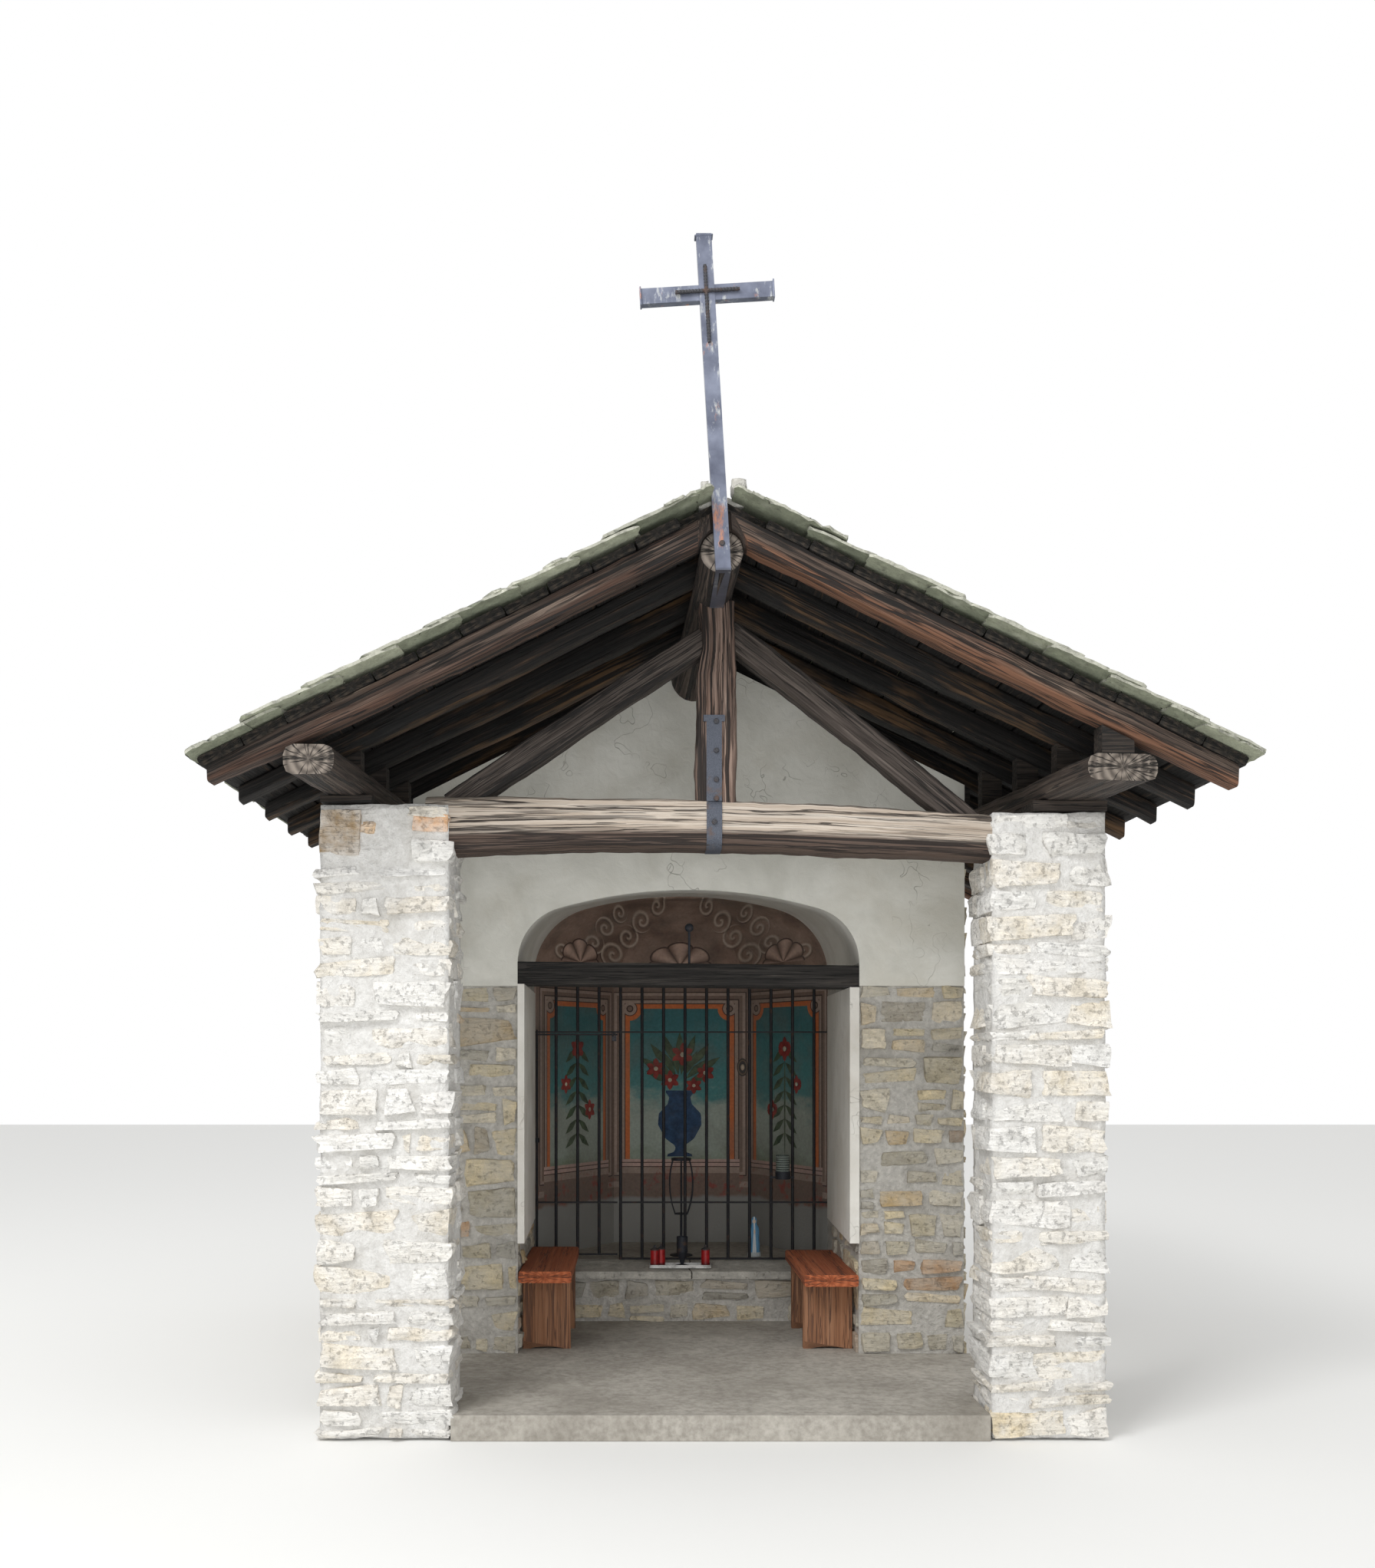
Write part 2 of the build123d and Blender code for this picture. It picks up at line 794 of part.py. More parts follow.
with BuildPart() as vault:
    with BuildSketch(Plane.XY.offset(springing)):
        with Locations((bay_centre, (wall_front + apse_back) / 2)):
            Rectangle(2 * bay_half, apse_back - wall_front)
    extrude(amount=vault_top - springing)
    add(bay_void.part, mode=Mode.SUBTRACT)
    add(dome_void.part, mode=Mode.SUBTRACT)
save(vault, "vault")

# Corner masonry that makes the apse three-sided
with BuildPart() as apse_corners:
    for wall_x, back_x in ((bay_x[0], apse_back_x[0]), (bay_x[1], apse_back_x[1])):
        with BuildSketch():
            with BuildLine():
                Polyline((wall_x, apse_front), (back_x, apse_back), (wall_x, apse_back), close=True)
            make_face()
        extrude(amount=springing)
save(apse_corners, "apse_corners")

# Floor of the apse, a raised block of masonry level with the sill
with BuildPart() as apse_floor:
    with BuildSketch():
        with BuildLine():
            Polyline(
                (bay_x[0], apse_front),
                (bay_x[1], apse_front),
                (apse_back_x[1], apse_back),
                (apse_back_x[0], apse_back),
                close=True,
            )
        make_face()
    extrude(amount=sill_top)
save(apse_floor, "apse_floor")


def gable_outline(low):
    Polyline(
        (body_x[0], low),
        (body_x[1], low),
        (body_x[1], roof_height(rafter_under, body_x[1])),
        (ridge_x, rafter_under),
        (body_x[0], roof_height(rafter_under, body_x[0])),
        close=True,
    )


# The masonry ends below the narrow gap over each ridge log
open_above = (Align.CENTER, Align.MIN)

# Front gable over the vault, with holes for the logs and purlins
with BuildPart() as front_gable:
    with BuildSketch(Plane.XZ.offset(-wall_front)):
        with BuildLine():
            gable_outline(vault_top)
        make_face()
        with Locations((log_wall_x, log_wall_z)):
            Rectangle(log_wall_radius, 2 * log_wall_radius, align=open_above, mode=Mode.SUBTRACT)
    extrude(amount=-gable_thickness)
    for piece in (side_walls["left"], ridge_beam, rear_ridge_beam, left_purlin, right_purlin, packing_blocks):
        add(piece.part, mode=Mode.SUBTRACT)
save(front_gable, "front_gable")

# Back wall with its gable
with BuildPart() as back_wall:
    with BuildSketch(Plane.XZ.offset(-apse_back)):
        with BuildLine():
            gable_outline(0)
        make_face()
        with Locations((ridge_x, rear_log_z)):
            Rectangle(rear_log_radius, 2 * rear_log_radius, align=open_above, mode=Mode.SUBTRACT)
    extrude(amount=-back_wall_thickness)
    add(wall_plates.part, mode=Mode.SUBTRACT)
    add(rear_ridge_beam.part, mode=Mode.SUBTRACT)
save(back_wall, "back_wall")

# Plaster of the front, from its lower edge to the roof, with the arch cut out
with BuildPart() as front_plaster:
    with BuildSketch(Plane.XZ.offset(-wall_front)):
        with BuildLine():
            gable_outline(plaster_edge_z)
        make_face()
        with BuildLine():
            arch_outline(bay_centre, bay_half, front_rise, front_shoulder)
        make_face(mode=Mode.SUBTRACT)
        with Locations((bay_centre, (plaster_edge_z + springing) / 2)):
            Rectangle(2 * bay_half, springing - plaster_edge_z, mode=Mode.SUBTRACT)
    extrude(amount=plaster_thickness)
    for piece in (ridge_beam, left_purlin, right_purlin, packing_blocks):
        add(piece.part, mode=Mode.SUBTRACT)
save(front_plaster, "front_plaster")

# Painted beam across the opening, a little lower at its right end
with BuildPart() as lintel_beam:
    with BuildSketch(Plane.XZ.offset(-lintel_front)):
        with BuildLine():
            Polyline(
                (bay_x[0], lintel_left_z[0]),
                (bay_x[1], lintel_right_z[0]),
                (bay_x[1], lintel_right_z[1]),
                (bay_x[0], lintel_left_z[1]),
                close=True,
            )
        make_face()
    extrude(amount=-lintel_depth)
    add(vault.part, mode=Mode.SUBTRACT)
    add(front_plaster.part, mode=Mode.SUBTRACT)
save(lintel_beam, "lintel_beam")

# Linings of the jambs, thinner towards the grille, that carry the beam's ends
with BuildPart() as jamb_linings:
    for wall_x, inward, thick, top in (
        (bay_x[0], 1, lining_thickness[0], lintel_left_z[0]),
        (bay_x[1], -1, lining_thickness[1], lintel_right_z[0]),
    ):
        with BuildSketch(Plane.XY.offset(lining_foot)):
            with BuildLine():
                Polyline(
                    (wall_x, lintel_front),
                    (wall_x + inward * thick, lintel_front),
                    (wall_x + inward * lining_back_thickness, lining_back),
                    (wall_x, lining_back),
                    close=True,
                )
            make_face()
        extrude(amount=top - lining_foot)
    add(lintel_beam.part, mode=Mode.SUBTRACT)
save(jamb_linings, "jamb_linings")

# Rod with a ball knob that stands on the beam
with BuildPart() as beam_finial:
    share = (finial_x - bay_x[0]) / (bay_x[1] - bay_x[0])
    foot = lintel_left_z[1] + share * (lintel_right_z[1] - lintel_left_z[1])
    with BuildSketch(Plane.XY.offset(foot - finial_rod_radius)):
        with Locations((finial_x, finial_y)):
            Circle(finial_rod_radius)
    extrude(amount=finial_height)
    with BuildSketch(Plane.XZ.offset(-finial_y)):
        with BuildLine():
            turns = [math.pi * (ring / finial_ball_rings - 0.5) for ring in range(finial_ball_rings + 1)]
            Polyline(
                *[
                    (
                        finial_x + finial_ball_radius * math.cos(turn),
                        foot + finial_height + finial_ball_radius * math.sin(turn),
                    )
                    for turn in turns
                ],
                close=True,
            )
        make_face()
    revolve(axis=Axis((finial_x, finial_y, 0), (0, 0, 1)))
    add(lintel_beam.part, mode=Mode.SUBTRACT)
save(beam_finial, "beam_finial")

# Parapet of rubble across the bay, and its sill slab
sill_fall = (sill_top - sill_thickness - sill_front_z[0]) / (sill_flat_y - sill_front)
parapet_edge_z = sill_front_z[0] + sill_fall * (parapet_front - sill_front)
with BuildPart() as parapet:
    with BuildSketch(Plane.YZ.offset(bay_x[0])):
        with BuildLine():
            Polyline(
                (parapet_front, 0),
                (apse_front, 0),
                (apse_front, sill_top - sill_thickness),
                (sill_flat_y, sill_top - sill_thickness),
                (parapet_front, parapet_edge_z),
                close=True,
            )
        make_face()
    extrude(amount=bay_x[1] - bay_x[0])
save(parapet, "parapet")

with BuildPart() as sill_slab:
    with BuildSketch(Plane.YZ.offset(bay_x[0])):
        with BuildLine():
            Polyline(
                (sill_front, sill_front_z[0]),
                (sill_flat_y, sill_top - sill_thickness),
                (apse_front, sill_top - sill_thickness),
                (apse_front, sill_top),
                (sill_flat_y, sill_top),
                (sill_front, sill_front_z[1]),
                close=True,
            )
        make_face()
    extrude(amount=bay_x[1] - bay_x[0])
save(sill_slab, "sill_slab")


standing = (Align.CENTER, Align.CENTER, Align.MIN)


def bar_at(x, y, radius, low, high):
    """Upright round bar."""
    with Locations((x, y, low)):
        Cylinder(radius, high - low, align=standing)


def rail_at(x_range, low, height):
    """Flat rail in the plane of the grille."""
    with Locations((sum(x_range) / 2, grille_y, low)):
        Box(x_range[1] - x_range[0], rail_depth, height, align=standing)


# Grille field from the fourth bar to the right jamb
bar_xs = [bar_first_x + bar_spacing * index for index in range(bar_count)]
fixed_left = bar_xs[gate_bars] - bar_radius
field_x = (fixed_left, bay_x[1])
with BuildPart() as fixed_grille:
    for x in bar_xs[gate_bars:]:
        bar_at(x, grille_y, bar_radius, sill_top, top_rail_z + rail_height)
    for low in (lower_rail_z, upper_rail_z, top_rail_z):
        rail_at(field_x, low, rail_height)
    rail_at(field_x, sill_top, bottom_rail_height)
save(fixed_grille, "fixed_grille")

# Fixed light over the gate, whose lower rail holds the gate's top pin
transom_x = (bay_x[0], fixed_left)
with BuildPart() as grille_transom:
    for x in bar_xs[:gate_bars]:
        bar_at(x, grille_y, bar_radius, upper_rail_z, top_rail_z + rail_height)
    for low in (upper_rail_z, top_rail_z):
        rail_at(transom_x, low, rail_height)
    with Locations((hinge_x, grille_y, upper_rail_z)):
        Cylinder(pin_radius + running_clearance, 4 * rail_height, mode=Mode.SUBTRACT)
save(grille_transom, "grille_transom")

# Gate leaf: a round stile that turns at the jamb, three bars and three rails
stile_foot = sill_top + socket_height + shoulder_gap
stile_head = upper_rail_z - gate_head_gap
leaf_end = fixed_left - gate_gap
with BuildPart() as grille_gate:
    bar_at(hinge_x, grille_y, stile_radius, stile_foot, stile_head)
    bar_at(hinge_x, grille_y, pin_radius, sill_top + pin_radius, upper_rail_z + 2 * rail_height)
    for x in bar_xs[:gate_bars]:
        bar_at(x, grille_y, bar_radius, gate_foot_z, stile_head)
    for low in (gate_foot_z, lower_rail_z, stile_head - rail_height):
        rail_at((hinge_x, leaf_end), low, rail_height)
save(grille_gate, "grille_gate")

# Socket on the sill and eye on the jamb, in which the stile turns
with BuildPart() as gate_hinges:
    with BuildSketch(Plane.XY.offset(sill_top)):
        with Locations((hinge_x, grille_y)):
            Rectangle(*socket_size)
            Circle(pin_radius + running_clearance, mode=Mode.SUBTRACT)
    extrude(amount=socket_height)
    with BuildSketch(Plane.XY.offset(eye_z)):
        with Locations((hinge_x, grille_y)):
            Circle(eye_radius)
        with Locations(((bay_x[0] + hinge_x) / 2, grille_y)):
            Rectangle(hinge_x - bay_x[0], eye_radius)
        with Locations((hinge_x, grille_y)):
            Circle(stile_radius + running_clearance, mode=Mode.SUBTRACT)
    extrude(amount=eye_height)
save(gate_hinges, "gate_hinges")


def build_bench(x_range, top):
    """Plank seat on two plank legs with a cut-out foot."""
    middle = sum(x_range) / 2
    width = x_range[1] - x_range[0]
    with BuildPart() as bench:
        with BuildSketch(Plane.XY.offset(top - seat_thickness)):
            with Locations((middle, bench_front + bench_length / 2)):
                Rectangle(width, bench_length)
        extrude(amount=seat_thickness)
        chamfer(bench.edges().group_by(Axis.Z)[-1], length=seat_ease)
        for y in (bench_front + leg_inset, bench_front + leg_inset + leg_spacing):
            with BuildSketch(Plane.XZ.offset(-y)):
                with Locations((middle, (floor_top + top - seat_thickness) / 2)):
                    Rectangle(width - 2 * leg_narrowing, top - seat_thickness - floor_top)
                with Locations((middle, floor_top)):
                    Ellipse(*foot_cut, mode=Mode.SUBTRACT)
            extrude(amount=-leg_thickness)
    return bench


save(build_bench(left_bench_x, left_bench_top), "left_bench")
save(build_bench(right_bench_x, right_bench_top), "right_bench")

# Tray on the sloping sill, with feet that level it, and the candles on it
sill_slope = (sill_top - sill_front_z[1]) / (sill_flat_y - sill_front)
with BuildPart() as tray:
    with BuildSketch(Plane.XY.offset(tray_z)):
        with Locations((tray_x, tray_y)):
            RectangleRounded(tray_size[0], tray_size[1], tray_corner)
    extrude(amount=tray_size[2])
    with BuildSketch(Plane.XY.offset(tray_z + tray_thickness)):
        with Locations((tray_x, tray_y)):
            RectangleRounded(
                tray_size[0] - 2 * tray_thickness,
                tray_size[1] - 2 * tray_thickness,
                tray_corner - tray_thickness,
            )
    extrude(amount=tray_size[2], mode=Mode.SUBTRACT)
    add(sill_slab.part, mode=Mode.SUBTRACT)
save(tray, "tray")

with BuildPart() as candles:
    for x, y in candle_places:
        bar_at(x, y, candle_radius, tray_z + tray_thickness, tray_z + tray_thickness + candle_height)
save(candles, "candles")

# Iron vase with a foot plate
with BuildPart() as iron_vase:
    with BuildSketch(Plane.XZ):
        with BuildLine():
            Polyline(
                (0, 0),
                (vase_foot_radius, 0),
                (vase_foot_radius, vase_plate),
                (vase_neck_radius, vase_plate + vase_neck_radius),
                (vase_radius, vase_height / 2),
                (vase_radius, vase_height),
                (vase_radius - vase_wall, vase_height),
                (vase_radius - vase_wall, vase_height / 2 + vase_wall),
                (0, vase_height / 2),
                close=True,
            )
        make_face()
    revolve(axis=Axis.Z)
iron_vase.part.position = (vase_x, vase_y, vase_z)
save(iron_vase, "iron_vase")

# Iron flower stand: foot, stem, a cage of bent rods and a ring
with BuildPart() as flower_stand:
    bar_at(stand_x, stand_y, stand_foot_radius, sill_top, sill_top + stand_plate)
    bar_at(stand_x, stand_y, stand_rod, sill_top, stand_cage_z)
    bar_at(stand_x, stand_y, stand_dish_radius, stand_cage_z, stand_cage_z + stand_plate)
    with BuildSketch(Plane.XY.offset(stand_top_z - stand_rod)):
        with Locations((stand_x, stand_y)):
            Circle(stand_ring_radius + stand_rod / 2)
            Circle(stand_ring_radius - stand_rod / 2, mode=Mode.SUBTRACT)
    extrude(amount=2 * stand_rod)
    for index in range(stand_rods):
        turn = 2 * math.pi * (index + 0.5) / stand_rods
        around = (math.cos(turn), math.sin(turn))
        with BuildLine() as rod_path:
            ThreePointArc(
                (
                    stand_x + stand_dish_radius * around[0],
                    stand_y + stand_dish_radius * around[1],
                    stand_cage_z,
                ),
                (
                    stand_x + stand_bulge * around[0],
                    stand_y + stand_bulge * around[1],
                    (stand_cage_z + stand_top_z) / 2,
                ),
                (
                    stand_x + stand_ring_radius * around[0],
                    stand_y + stand_ring_radius * around[1],
                    stand_top_z,
                ),
            )
        with BuildSketch(Plane(origin=rod_path.line @ 0, z_dir=rod_path.line % 0)):
            RegularPolygon(stand_rod / 2, 6)
        sweep(path=rod_path.line)
save(flower_stand, "flower_stand")

# Veiled statuette on a round plinth
with BuildPart() as statuette:
    with BuildSketch(Plane.XZ):
        with BuildLine():
            Polyline(
                (0, 0),
                (figure_radius, 0),
                (figure_radius, figure_plinth),
                (figure_radius * 0.82, figure_plinth),
                (figure_radius * 0.74, figure_height * 0.4),
                (figure_radius * 0.82, figure_height * 0.66),
                (figure_radius * 0.7, figure_height * 0.74),
                (figure_radius * 0.44, figure_height * 0.8),
                (figure_radius * 0.5, figure_height * 0.88),
                (figure_radius * 0.3, figure_height * 0.97),
                (0, figure_height),
                close=True,
            )
        make_face()
    revolve(axis=Axis.Z)
statuette.part.position = (figure_x, figure_y, sill_top)
save(statuette, "statuette")

# Glass jar in an iron holder on the grille
with BuildPart() as votive_jar:
    bar_at(jar_x, jar_y, jar_radius, jar_z, jar_z + jar_height)
    with BuildSketch(Plane.XY.offset(jar_z + jar_wall)):
        with Locations((jar_x, jar_y)):
            Circle(jar_radius - jar_wall)
    extrude(amount=jar_height, mode=Mode.SUBTRACT)
save(votive_jar, "votive_jar")

with BuildPart() as jar_holder:
    bar_at(jar_x, jar_y, jar_radius + holder_thickness, jar_z - holder_thickness, jar_z + holder_height)
    with BuildSketch(Plane.XY.offset(jar_z - holder_thickness)):
        with Locations((jar_x, (jar_y + grille_y - bar_radius) / 2)):
            Rectangle(holder_arm, grille_y - bar_radius - jar_y)
        with Locations((jar_x, grille_y - bar_radius - holder_thickness / 2)):
            Rectangle(bar_spacing + 2 * bar_radius, holder_thickness)
    extrude(amount=holder_arm)
    with BuildSketch(Plane.XY.offset(jar_z)):
        with Locations((jar_x, jar_y)):
            Circle(jar_radius)
    extrude(amount=jar_height, mode=Mode.SUBTRACT)
save(jar_holder, "jar_holder")

# Oval medallion on the back of the apse
with BuildPart() as medallion:
    with BuildSketch(Plane.XZ.offset(-apse_back)):
        with Locations((medallion_x, medallion_z)):
            Ellipse(medallion_size[0] / 2, medallion_size[1] / 2)
    extrude(amount=medallion_thickness)
save(medallion, "medallion")
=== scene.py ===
import math
import random

import bpy
import numpy as np
from mathutils import Matrix, Vector


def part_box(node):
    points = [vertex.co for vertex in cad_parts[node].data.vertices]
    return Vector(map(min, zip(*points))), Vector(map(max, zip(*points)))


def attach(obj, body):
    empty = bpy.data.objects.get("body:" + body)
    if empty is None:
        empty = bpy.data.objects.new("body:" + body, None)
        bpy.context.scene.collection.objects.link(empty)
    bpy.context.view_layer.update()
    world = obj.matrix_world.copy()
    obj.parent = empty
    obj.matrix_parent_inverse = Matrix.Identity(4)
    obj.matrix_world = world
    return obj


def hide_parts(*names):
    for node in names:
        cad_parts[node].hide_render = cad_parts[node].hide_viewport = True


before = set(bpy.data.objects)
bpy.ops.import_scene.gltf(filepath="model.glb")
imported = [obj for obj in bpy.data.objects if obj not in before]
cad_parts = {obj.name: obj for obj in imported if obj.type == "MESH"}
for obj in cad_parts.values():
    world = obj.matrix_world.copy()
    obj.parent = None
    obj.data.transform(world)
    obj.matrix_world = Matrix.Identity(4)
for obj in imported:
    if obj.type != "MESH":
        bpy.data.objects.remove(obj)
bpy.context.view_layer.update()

# Camera at the height of a standing person, a little left of the middle
cameraView = {"place": (-0.3893, -6.607, 1.799), "lens": 32.58, "shiftX": 0.0333, "shiftY": 0.1727}
bpy.ops.object.camera_add(location=cameraView["place"], rotation=(math.radians(90), 0, 0))
camera = bpy.context.object
camera.data.lens = cameraView["lens"]
camera.data.shift_x = cameraView["shiftX"]
camera.data.shift_y = cameraView["shiftY"]
camera.data.clip_end = 200
bpy.context.scene.camera = camera
bpy.context.scene.view_settings.view_transform = "Standard"
print("camera ready")

now = {"tree": None, "material": None}  # what the node helpers work on


class Wire:
    # a socket that can be reckoned with: each sign adds a node
    def __init__(self, socket):
        self.socket = socket

    def __add__(self, other):
        return calc("ADD", self, other)

    def __mul__(self, other):
        return calc("MULTIPLY", self, other)

    def __sub__(self, other):
        return calc("SUBTRACT", self, other)

    def __rsub__(self, other):
        return calc("SUBTRACT", other, self)

    def __truediv__(self, other):
        return calc("DIVIDE", self, other)

    def __pow__(self, other):
        return calc("POWER", self, other)

    def __gt__(self, other):
        return calc("GREATER_THAN", self, other)

    def __lt__(self, other):
        return calc("LESS_THAN", self, other)

    def __abs__(self):
        return calc("ABSOLUTE", self)


def tint(red, green, blue):
    # a colour as a paint chart gives it, turned to light values
    return tuple(((v / 255 + 0.055) / 1.055) ** 2.4 if v > 10 else v / 3294 for v in (red, green, blue)) + (1,)


def fill(node, inputs):
    for key, value in inputs.items():
        if isinstance(value, Wire):
            now["tree"].links.new(value.socket, node.inputs[key])
        else:
            node.inputs[key].default_value = value


def addNode(kind, inputs, out=0, **settings):
    node = now["tree"].nodes.new(kind)
    for key, value in settings.items():
        setattr(node, key, value)
    fill(node, inputs)
    return Wire(node.outputs[out])


def noiseAt(vector, scale, detail=4, rough=0.55, distortion=0.0):
    return addNode("ShaderNodeTexNoise", {
        "Vector": vector, "Scale": scale, "Detail": detail, "Roughness": rough, "Distortion": distortion}, "Fac")


def cellsAt(vector, scale, feature="F1"):
    return addNode("ShaderNodeTexVoronoi", {"Vector": vector, "Scale": scale}, "Distance", feature=feature)


def calc(operation, a, b=0.0, clamp=False):
    return addNode("ShaderNodeMath", {0: a, 1: b}, operation=operation, use_clamp=clamp)


def fade(value, steep):
    # 1 where the value is nought, falling to 0
    return calc("SUBTRACT", 1.0, value * steep, True)


def spread(value, low, high, toLow=0.0, toHigh=1.0):
    return addNode("ShaderNodeMapRange", {
        "Value": value, "From Min": low, "From Max": high, "To Min": toLow, "To Max": toHigh})


def blendColor(share, a, b):
    a, b = (color if isinstance(color, Wire) else tint(*color) for color in (a, b))
    return addNode("ShaderNodeMix", {0: share, 6: a, 7: b}, 2, data_type="RGBA")


def scaleColor(color, shade):
    return addNode("ShaderNodeVectorMath", {0: color, "Scale": shade}, operation="SCALE")


def rampColor(value, stops, kind="LINEAR"):
    ramp = addNode("ShaderNodeValToRGB", {"Fac": value}, "Color")
    band = ramp.socket.node.color_ramp
    band.interpolation = kind
    for element, (position, color) in zip(band.elements, (stops[0], stops[-1])):
        element.position, element.color = position, tint(*color)
    for position, color in stops[1:-1]:
        band.elements.new(position).color = tint(*color)
    return ramp


def mapVector(vector, place=(0, 0, 0), turn=(0, 0, 0), scale=(1, 1, 1), kind="POINT"):
    return addNode("ShaderNodeMapping", {
        "Vector": vector, "Location": place, "Rotation": turn, "Scale": scale}, vector_type=kind)


def splitAxes(vector):
    node = addNode("ShaderNodeSeparateXYZ", {0: vector}).socket.node
    return [Wire(socket) for socket in node.outputs]


def readMark(name, out="Fac"):
    return addNode("ShaderNodeAttribute", {}, out, attribute_name=name)


def newGroup(name, **inputs):
    # an input without a value is a vector, one with a tuple is a colour
    now["tree"] = tree = bpy.data.node_groups.new(name, "ShaderNodeTree")
    for label, value in inputs.items():
        kind = "Vector" if value is None else "Color" if isinstance(value, tuple) else "Float"
        socket = tree.interface.new_socket(name=label, in_out="INPUT", socket_type="NodeSocket" + kind)
        if value is not None:
            socket.default_value = value
    return [Wire(socket) for socket in tree.nodes.new("NodeGroupInput").outputs][:len(inputs)]


def closeGroup(**outputs):
    tree = now["tree"]
    for label, wire in outputs.items():
        kind = "Color" if wire.socket.type == "RGBA" else "Float"
        tree.interface.new_socket(name=label, in_out="OUTPUT", socket_type="NodeSocket" + kind)
    fill(tree.nodes.new("NodeGroupOutput"), outputs)
    return tree


def useGroup(group, **inputs):
    node = addNode("ShaderNodeGroup", inputs, node_tree=group).socket.node
    return {socket.name: Wire(socket) for socket in node.outputs}


def newMaterial(name, roughness=0.8, metallic=0.0):
    now["material"] = bpy.data.materials.new(name)
    now["material"].use_nodes = True
    now["tree"] = now["material"].node_tree
    fill(now["tree"].nodes["Principled BSDF"], {"Roughness": roughness, "Metallic": metallic})
    return addNode("ShaderNodeTexCoord", {}, "Object")


def closeMaterial(color, height=None, depth=0.0, **more):
    # feeds the material's own shader
    inputs = {"Base Color": color, **more}
    if height is not None:
        inputs["Normal"] = addNode("ShaderNodeBump", {"Height": height, "Distance": depth, "Strength": 1.0})
    fill(now["tree"].nodes["Principled BSDF"], inputs)
    return now["material"]


# Blotches of dirt and damp that many of the surfaces share
vector, scale, amount = newGroup("dirtPatches", Vector=None, Scale=2.0, Amount=0.5)
broad = noiseAt(vector, scale, 6, 0.62, 0.4)
mask = calc("MULTIPLY", broad - (0.72 - amount * 0.4), 5.0, True)
dirtGroup = closeGroup(Mask=mask, Fine=noiseAt(vector, scale * 22.0, 5, 0.6))

# Grain of sawn and hewn wood, running along the vector's X
vector, grain, cracks, fineness = newGroup("timberGrain", Vector=None, Grain=60.0, Cracks=9.0, Fineness=1.6)
streak = noiseAt(vector, grain, 7, 0.7, 0.2)
broad = noiseAt(vector, cracks * 0.35, 3, 0.5)
crack = None
for step, (finer, narrow, low, high, depth) in enumerate((
        (1.0, 36.0, 0.46, 0.52, 1.0), (2.3, 30.0, 0.44, 0.52, 1.0), (5.2, 22.0, 0.43, 0.54, 0.9))):
    shifted = mapVector(vector, (step * 1.7, step * 0.31, step * 0.57))
    near = abs(noiseAt(shifted, cracks * finer, 3, 0.55, 0.2) - 0.5) * fineness
    line = calc("MULTIPLY", fade(near, narrow), 2.6, True)
    gate = spread(noiseAt(shifted, 5.0 * finer, 2), low, high, 0.0, depth)
    line = calc("MULTIPLY", line, gate, True)
    crack = line if crack is None else calc("MAXIMUM", crack, line)
grainGroup = closeGroup(Streak=streak, Broad=broad, Crack=crack, Height=streak * 0.4 - crack)

# Sawn end of a log, rings and radial splits round the vector's origin, seen along Y
vector, rings = newGroup("endGrain", Vector=None, Rings=140.0)
x, y, z = splitAxes(vector)
wobble = noiseAt(vector, 14.0, 3)
radius = calc("SQRT", x * x + z * z)
ring = spread(calc("SINE", radius * rings + wobble * 5.0), -1, 1)
ray = addNode("ShaderNodeCombineXYZ", {0: calc("ARCTAN2", x, z), 1: radius * 1.2, 2: wobble * 0.25})
endGroup = closeGroup(Ring=ring, Crack=fade(abs(noiseAt(ray, 3.2, 3) - 0.5), 26.0))

# Face of a rubble stone or slab: veins, grains and pits, with painted shade darkening the pits
vector, color, dark = newGroup("stoneFace", Vector=None, Color=tint(128, 128, 128), Dark=0.5)
patch = noiseAt(vector, 11.0, 6, 0.65, 0.6)
grit = noiseAt(vector, 95.0, 4, 0.7)
layered = noiseAt(mapVector(vector, scale=(1, 1, 5)), 12.0, 5, 0.6, 0.5)
shade = spread(patch, 0.3, 0.7, 0.72, 1.22) * spread(grit, 0.3, 0.7, 0.86, 1.12)
toned = scaleColor(color, shade * spread(layered, 0.35, 0.65, 0.88, 1.08))
# Pits: sunk in the height, and darkened in colour by the Dark amount as painted shade in the hollows
pitsAndShade = spread(noiseAt(vector, 38.0, 5, 0.7), 0.56, 0.68)
stoneGroup = closeGroup(
    Color=blendColor(pitsAndShade * dark, toned, (86, 80, 70)),
    Height=patch * 0.8 + layered * 0.7 + grit * 0.2 - pitsAndShade * 0.25,
    Roughness=spread(patch, 0.3, 0.7, 0.78, 0.95))

# Trowelled lime, with hair cracks
vector, cracks = newGroup("limeCoat", Vector=None, Cracks=1.6)
soft = noiseAt(vector, 3.2, 6, 0.6, 0.5)
sand = noiseAt(vector, 160.0, 3, 0.6)
waver = addNode("ShaderNodeTexNoise", {"Vector": vector, "Scale": 6.0}, "Color")
bent = addNode("ShaderNodeVectorMath", {0: vector, 1: waver}, operation="ADD")
line = fade(cellsAt(bent, cracks, "DISTANCE_TO_EDGE"), 230.0) * spread(noiseAt(vector, 2.3, 2), 0.5, 0.62)
tool = noiseAt(vector, 17.0, 3, 0.5, 1.2)
limeGroup = closeGroup(Mottle=soft, Crack=line, Height=sand * 0.25 + tool * 0.8 - line)
print("shared effects ready")


# Stones: each keeps its own tone in an attribute
# The last argument sets how dark the pits are painted: painted shade in the hollows
def stoneMaterial(name, palette, coat, coatShare, bump, pitsAndShade):
    coords = newMaterial(name, 0.88)
    face = useGroup(stoneGroup, Vector=coords, Color=rampColor(readMark("stoneTone"), palette), Dark=pitsAndShade)
    share = spread(noiseAt(coords, 5.5, 5, 0.65, 0.3), 0.38, 0.6) * coatShare
    return closeMaterial(blendColor(share, face["Color"], coat), face["Height"], bump, Roughness=face["Roughness"])
